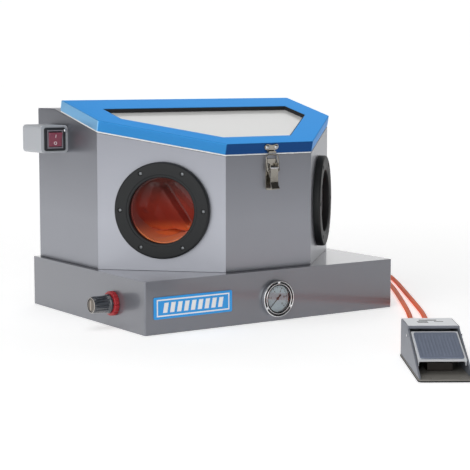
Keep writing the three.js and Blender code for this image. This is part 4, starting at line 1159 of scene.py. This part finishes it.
# The pad's ribs run down the treadle, a cosine of 5.5 mm cut off at nought and at its full height.
rib_x, rib_y = np.linspace(-33, 33, 133), np.array([-83.5, -82.5, -10.5, -9.5])
rib_pitch, rib_rise, pad_top = 5.5, 0.9, 7.75
rib_height = rib_rise * np.clip(1.6 * np.cos(rib_x * 2 * np.pi / rib_pitch), 0, 1)
edge_share = np.array([0, 1, 1, 0])[:, None]
ribs = np.stack(np.broadcast_arrays(rib_x[None], rib_y[:, None], pad_top + rib_height[None] * edge_share), -1)
under = ribs[::-1] * (1, 1, 0) + (0, 0, pad_top - 0.8)
rib_grid, rib_faces = on_treadle(np.concatenate([ribs, under])), quads(8, len(rib_x), True, False)
mounted(piece("treadle_pad_ribs", rib_grid, rib_faces, pad_rubber, 60), "treadle")

# The cover carries a pale sheet with rows of plain printed blocks. The sheet is partly a label and partly
# painted light, making the lit top paler than the shaded sides.
cover_sheet = [*arc(39, 101, 3, 0, 90), *arc(-39, 101, 3, 90, 180), (-42, 31), (42, 31)]
plate("foot_valve_sheet_painted_light", cover_sheet, (65.9, 66.7), on_pedal, pale_sheet, "root", 0.2)
unit_block = np.array([(-0.5, -0.5), (0.5, -0.5), (0.5, 0.5), (-0.5, 0.5)])
block_spots = ((-2, 82, 30, 7), (-13, 70, 18, 5), (15, 68, 16, 4), (-13, 60, 18, 5))
blocks = [unit_block * (wide, high) + (x, y) for x, y, wide, high in block_spots]
printed("foot_valve_print", blocks, 66.65, 66.8, on_pedal, black_ink)

# A black rubber edge under the plate keeps the valve from sliding.
corner_x, corner_y, corner_r = 38.0, 103.0, 7.0
quarters = ((1, 1, 0), (-1, 1, 90), (-1, -1, 180), (1, -1, 270))
outline = np.vstack([arc(x * corner_x, y * corner_y, corner_r, turn, turn + 90) for x, y, turn in quarters])
strip = rounded([(0.1, 0.05), (1.3, 0.05), (1.3, 2.2), (0.1, 2.2)], 0.4, closed=True)
away = outline / np.linalg.norm(outline, axis=1, keepdims=True)
edge_grid = np.stack([np.column_stack([outline + away * r, np.full(len(outline), z)]) for r, z in strip])
edge_faces = quads(len(strip), len(outline), True)
mounted(piece("foot_valve_edge", on_pedal(edge_grid), edge_faces, black_rubber), "root")

# The return spring is a helix of 1.6 mm wire round the plunger: the angle and height grow evenly.
coil_turns, coil_radius, coil_wire, coil_low, coil_high = 4, 7.4, 0.8, 19.1, 31.9
t = np.linspace(0, 1, 200)[:, None]
wind = 2 * np.pi * coil_turns * t
spring_line = np.hstack([
    coil_radius * np.cos(wind), coil_radius * np.sin(wind) - 20, coil_low + (coil_high - coil_low) * t
])
grid, faces = swept(spring_line, coil_wire, 10)
spring = piece("return_spring", on_pedal(grid), faces, bright_steel, 60)
mounted(spring, "root", "pedal_spring")
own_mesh(spring)
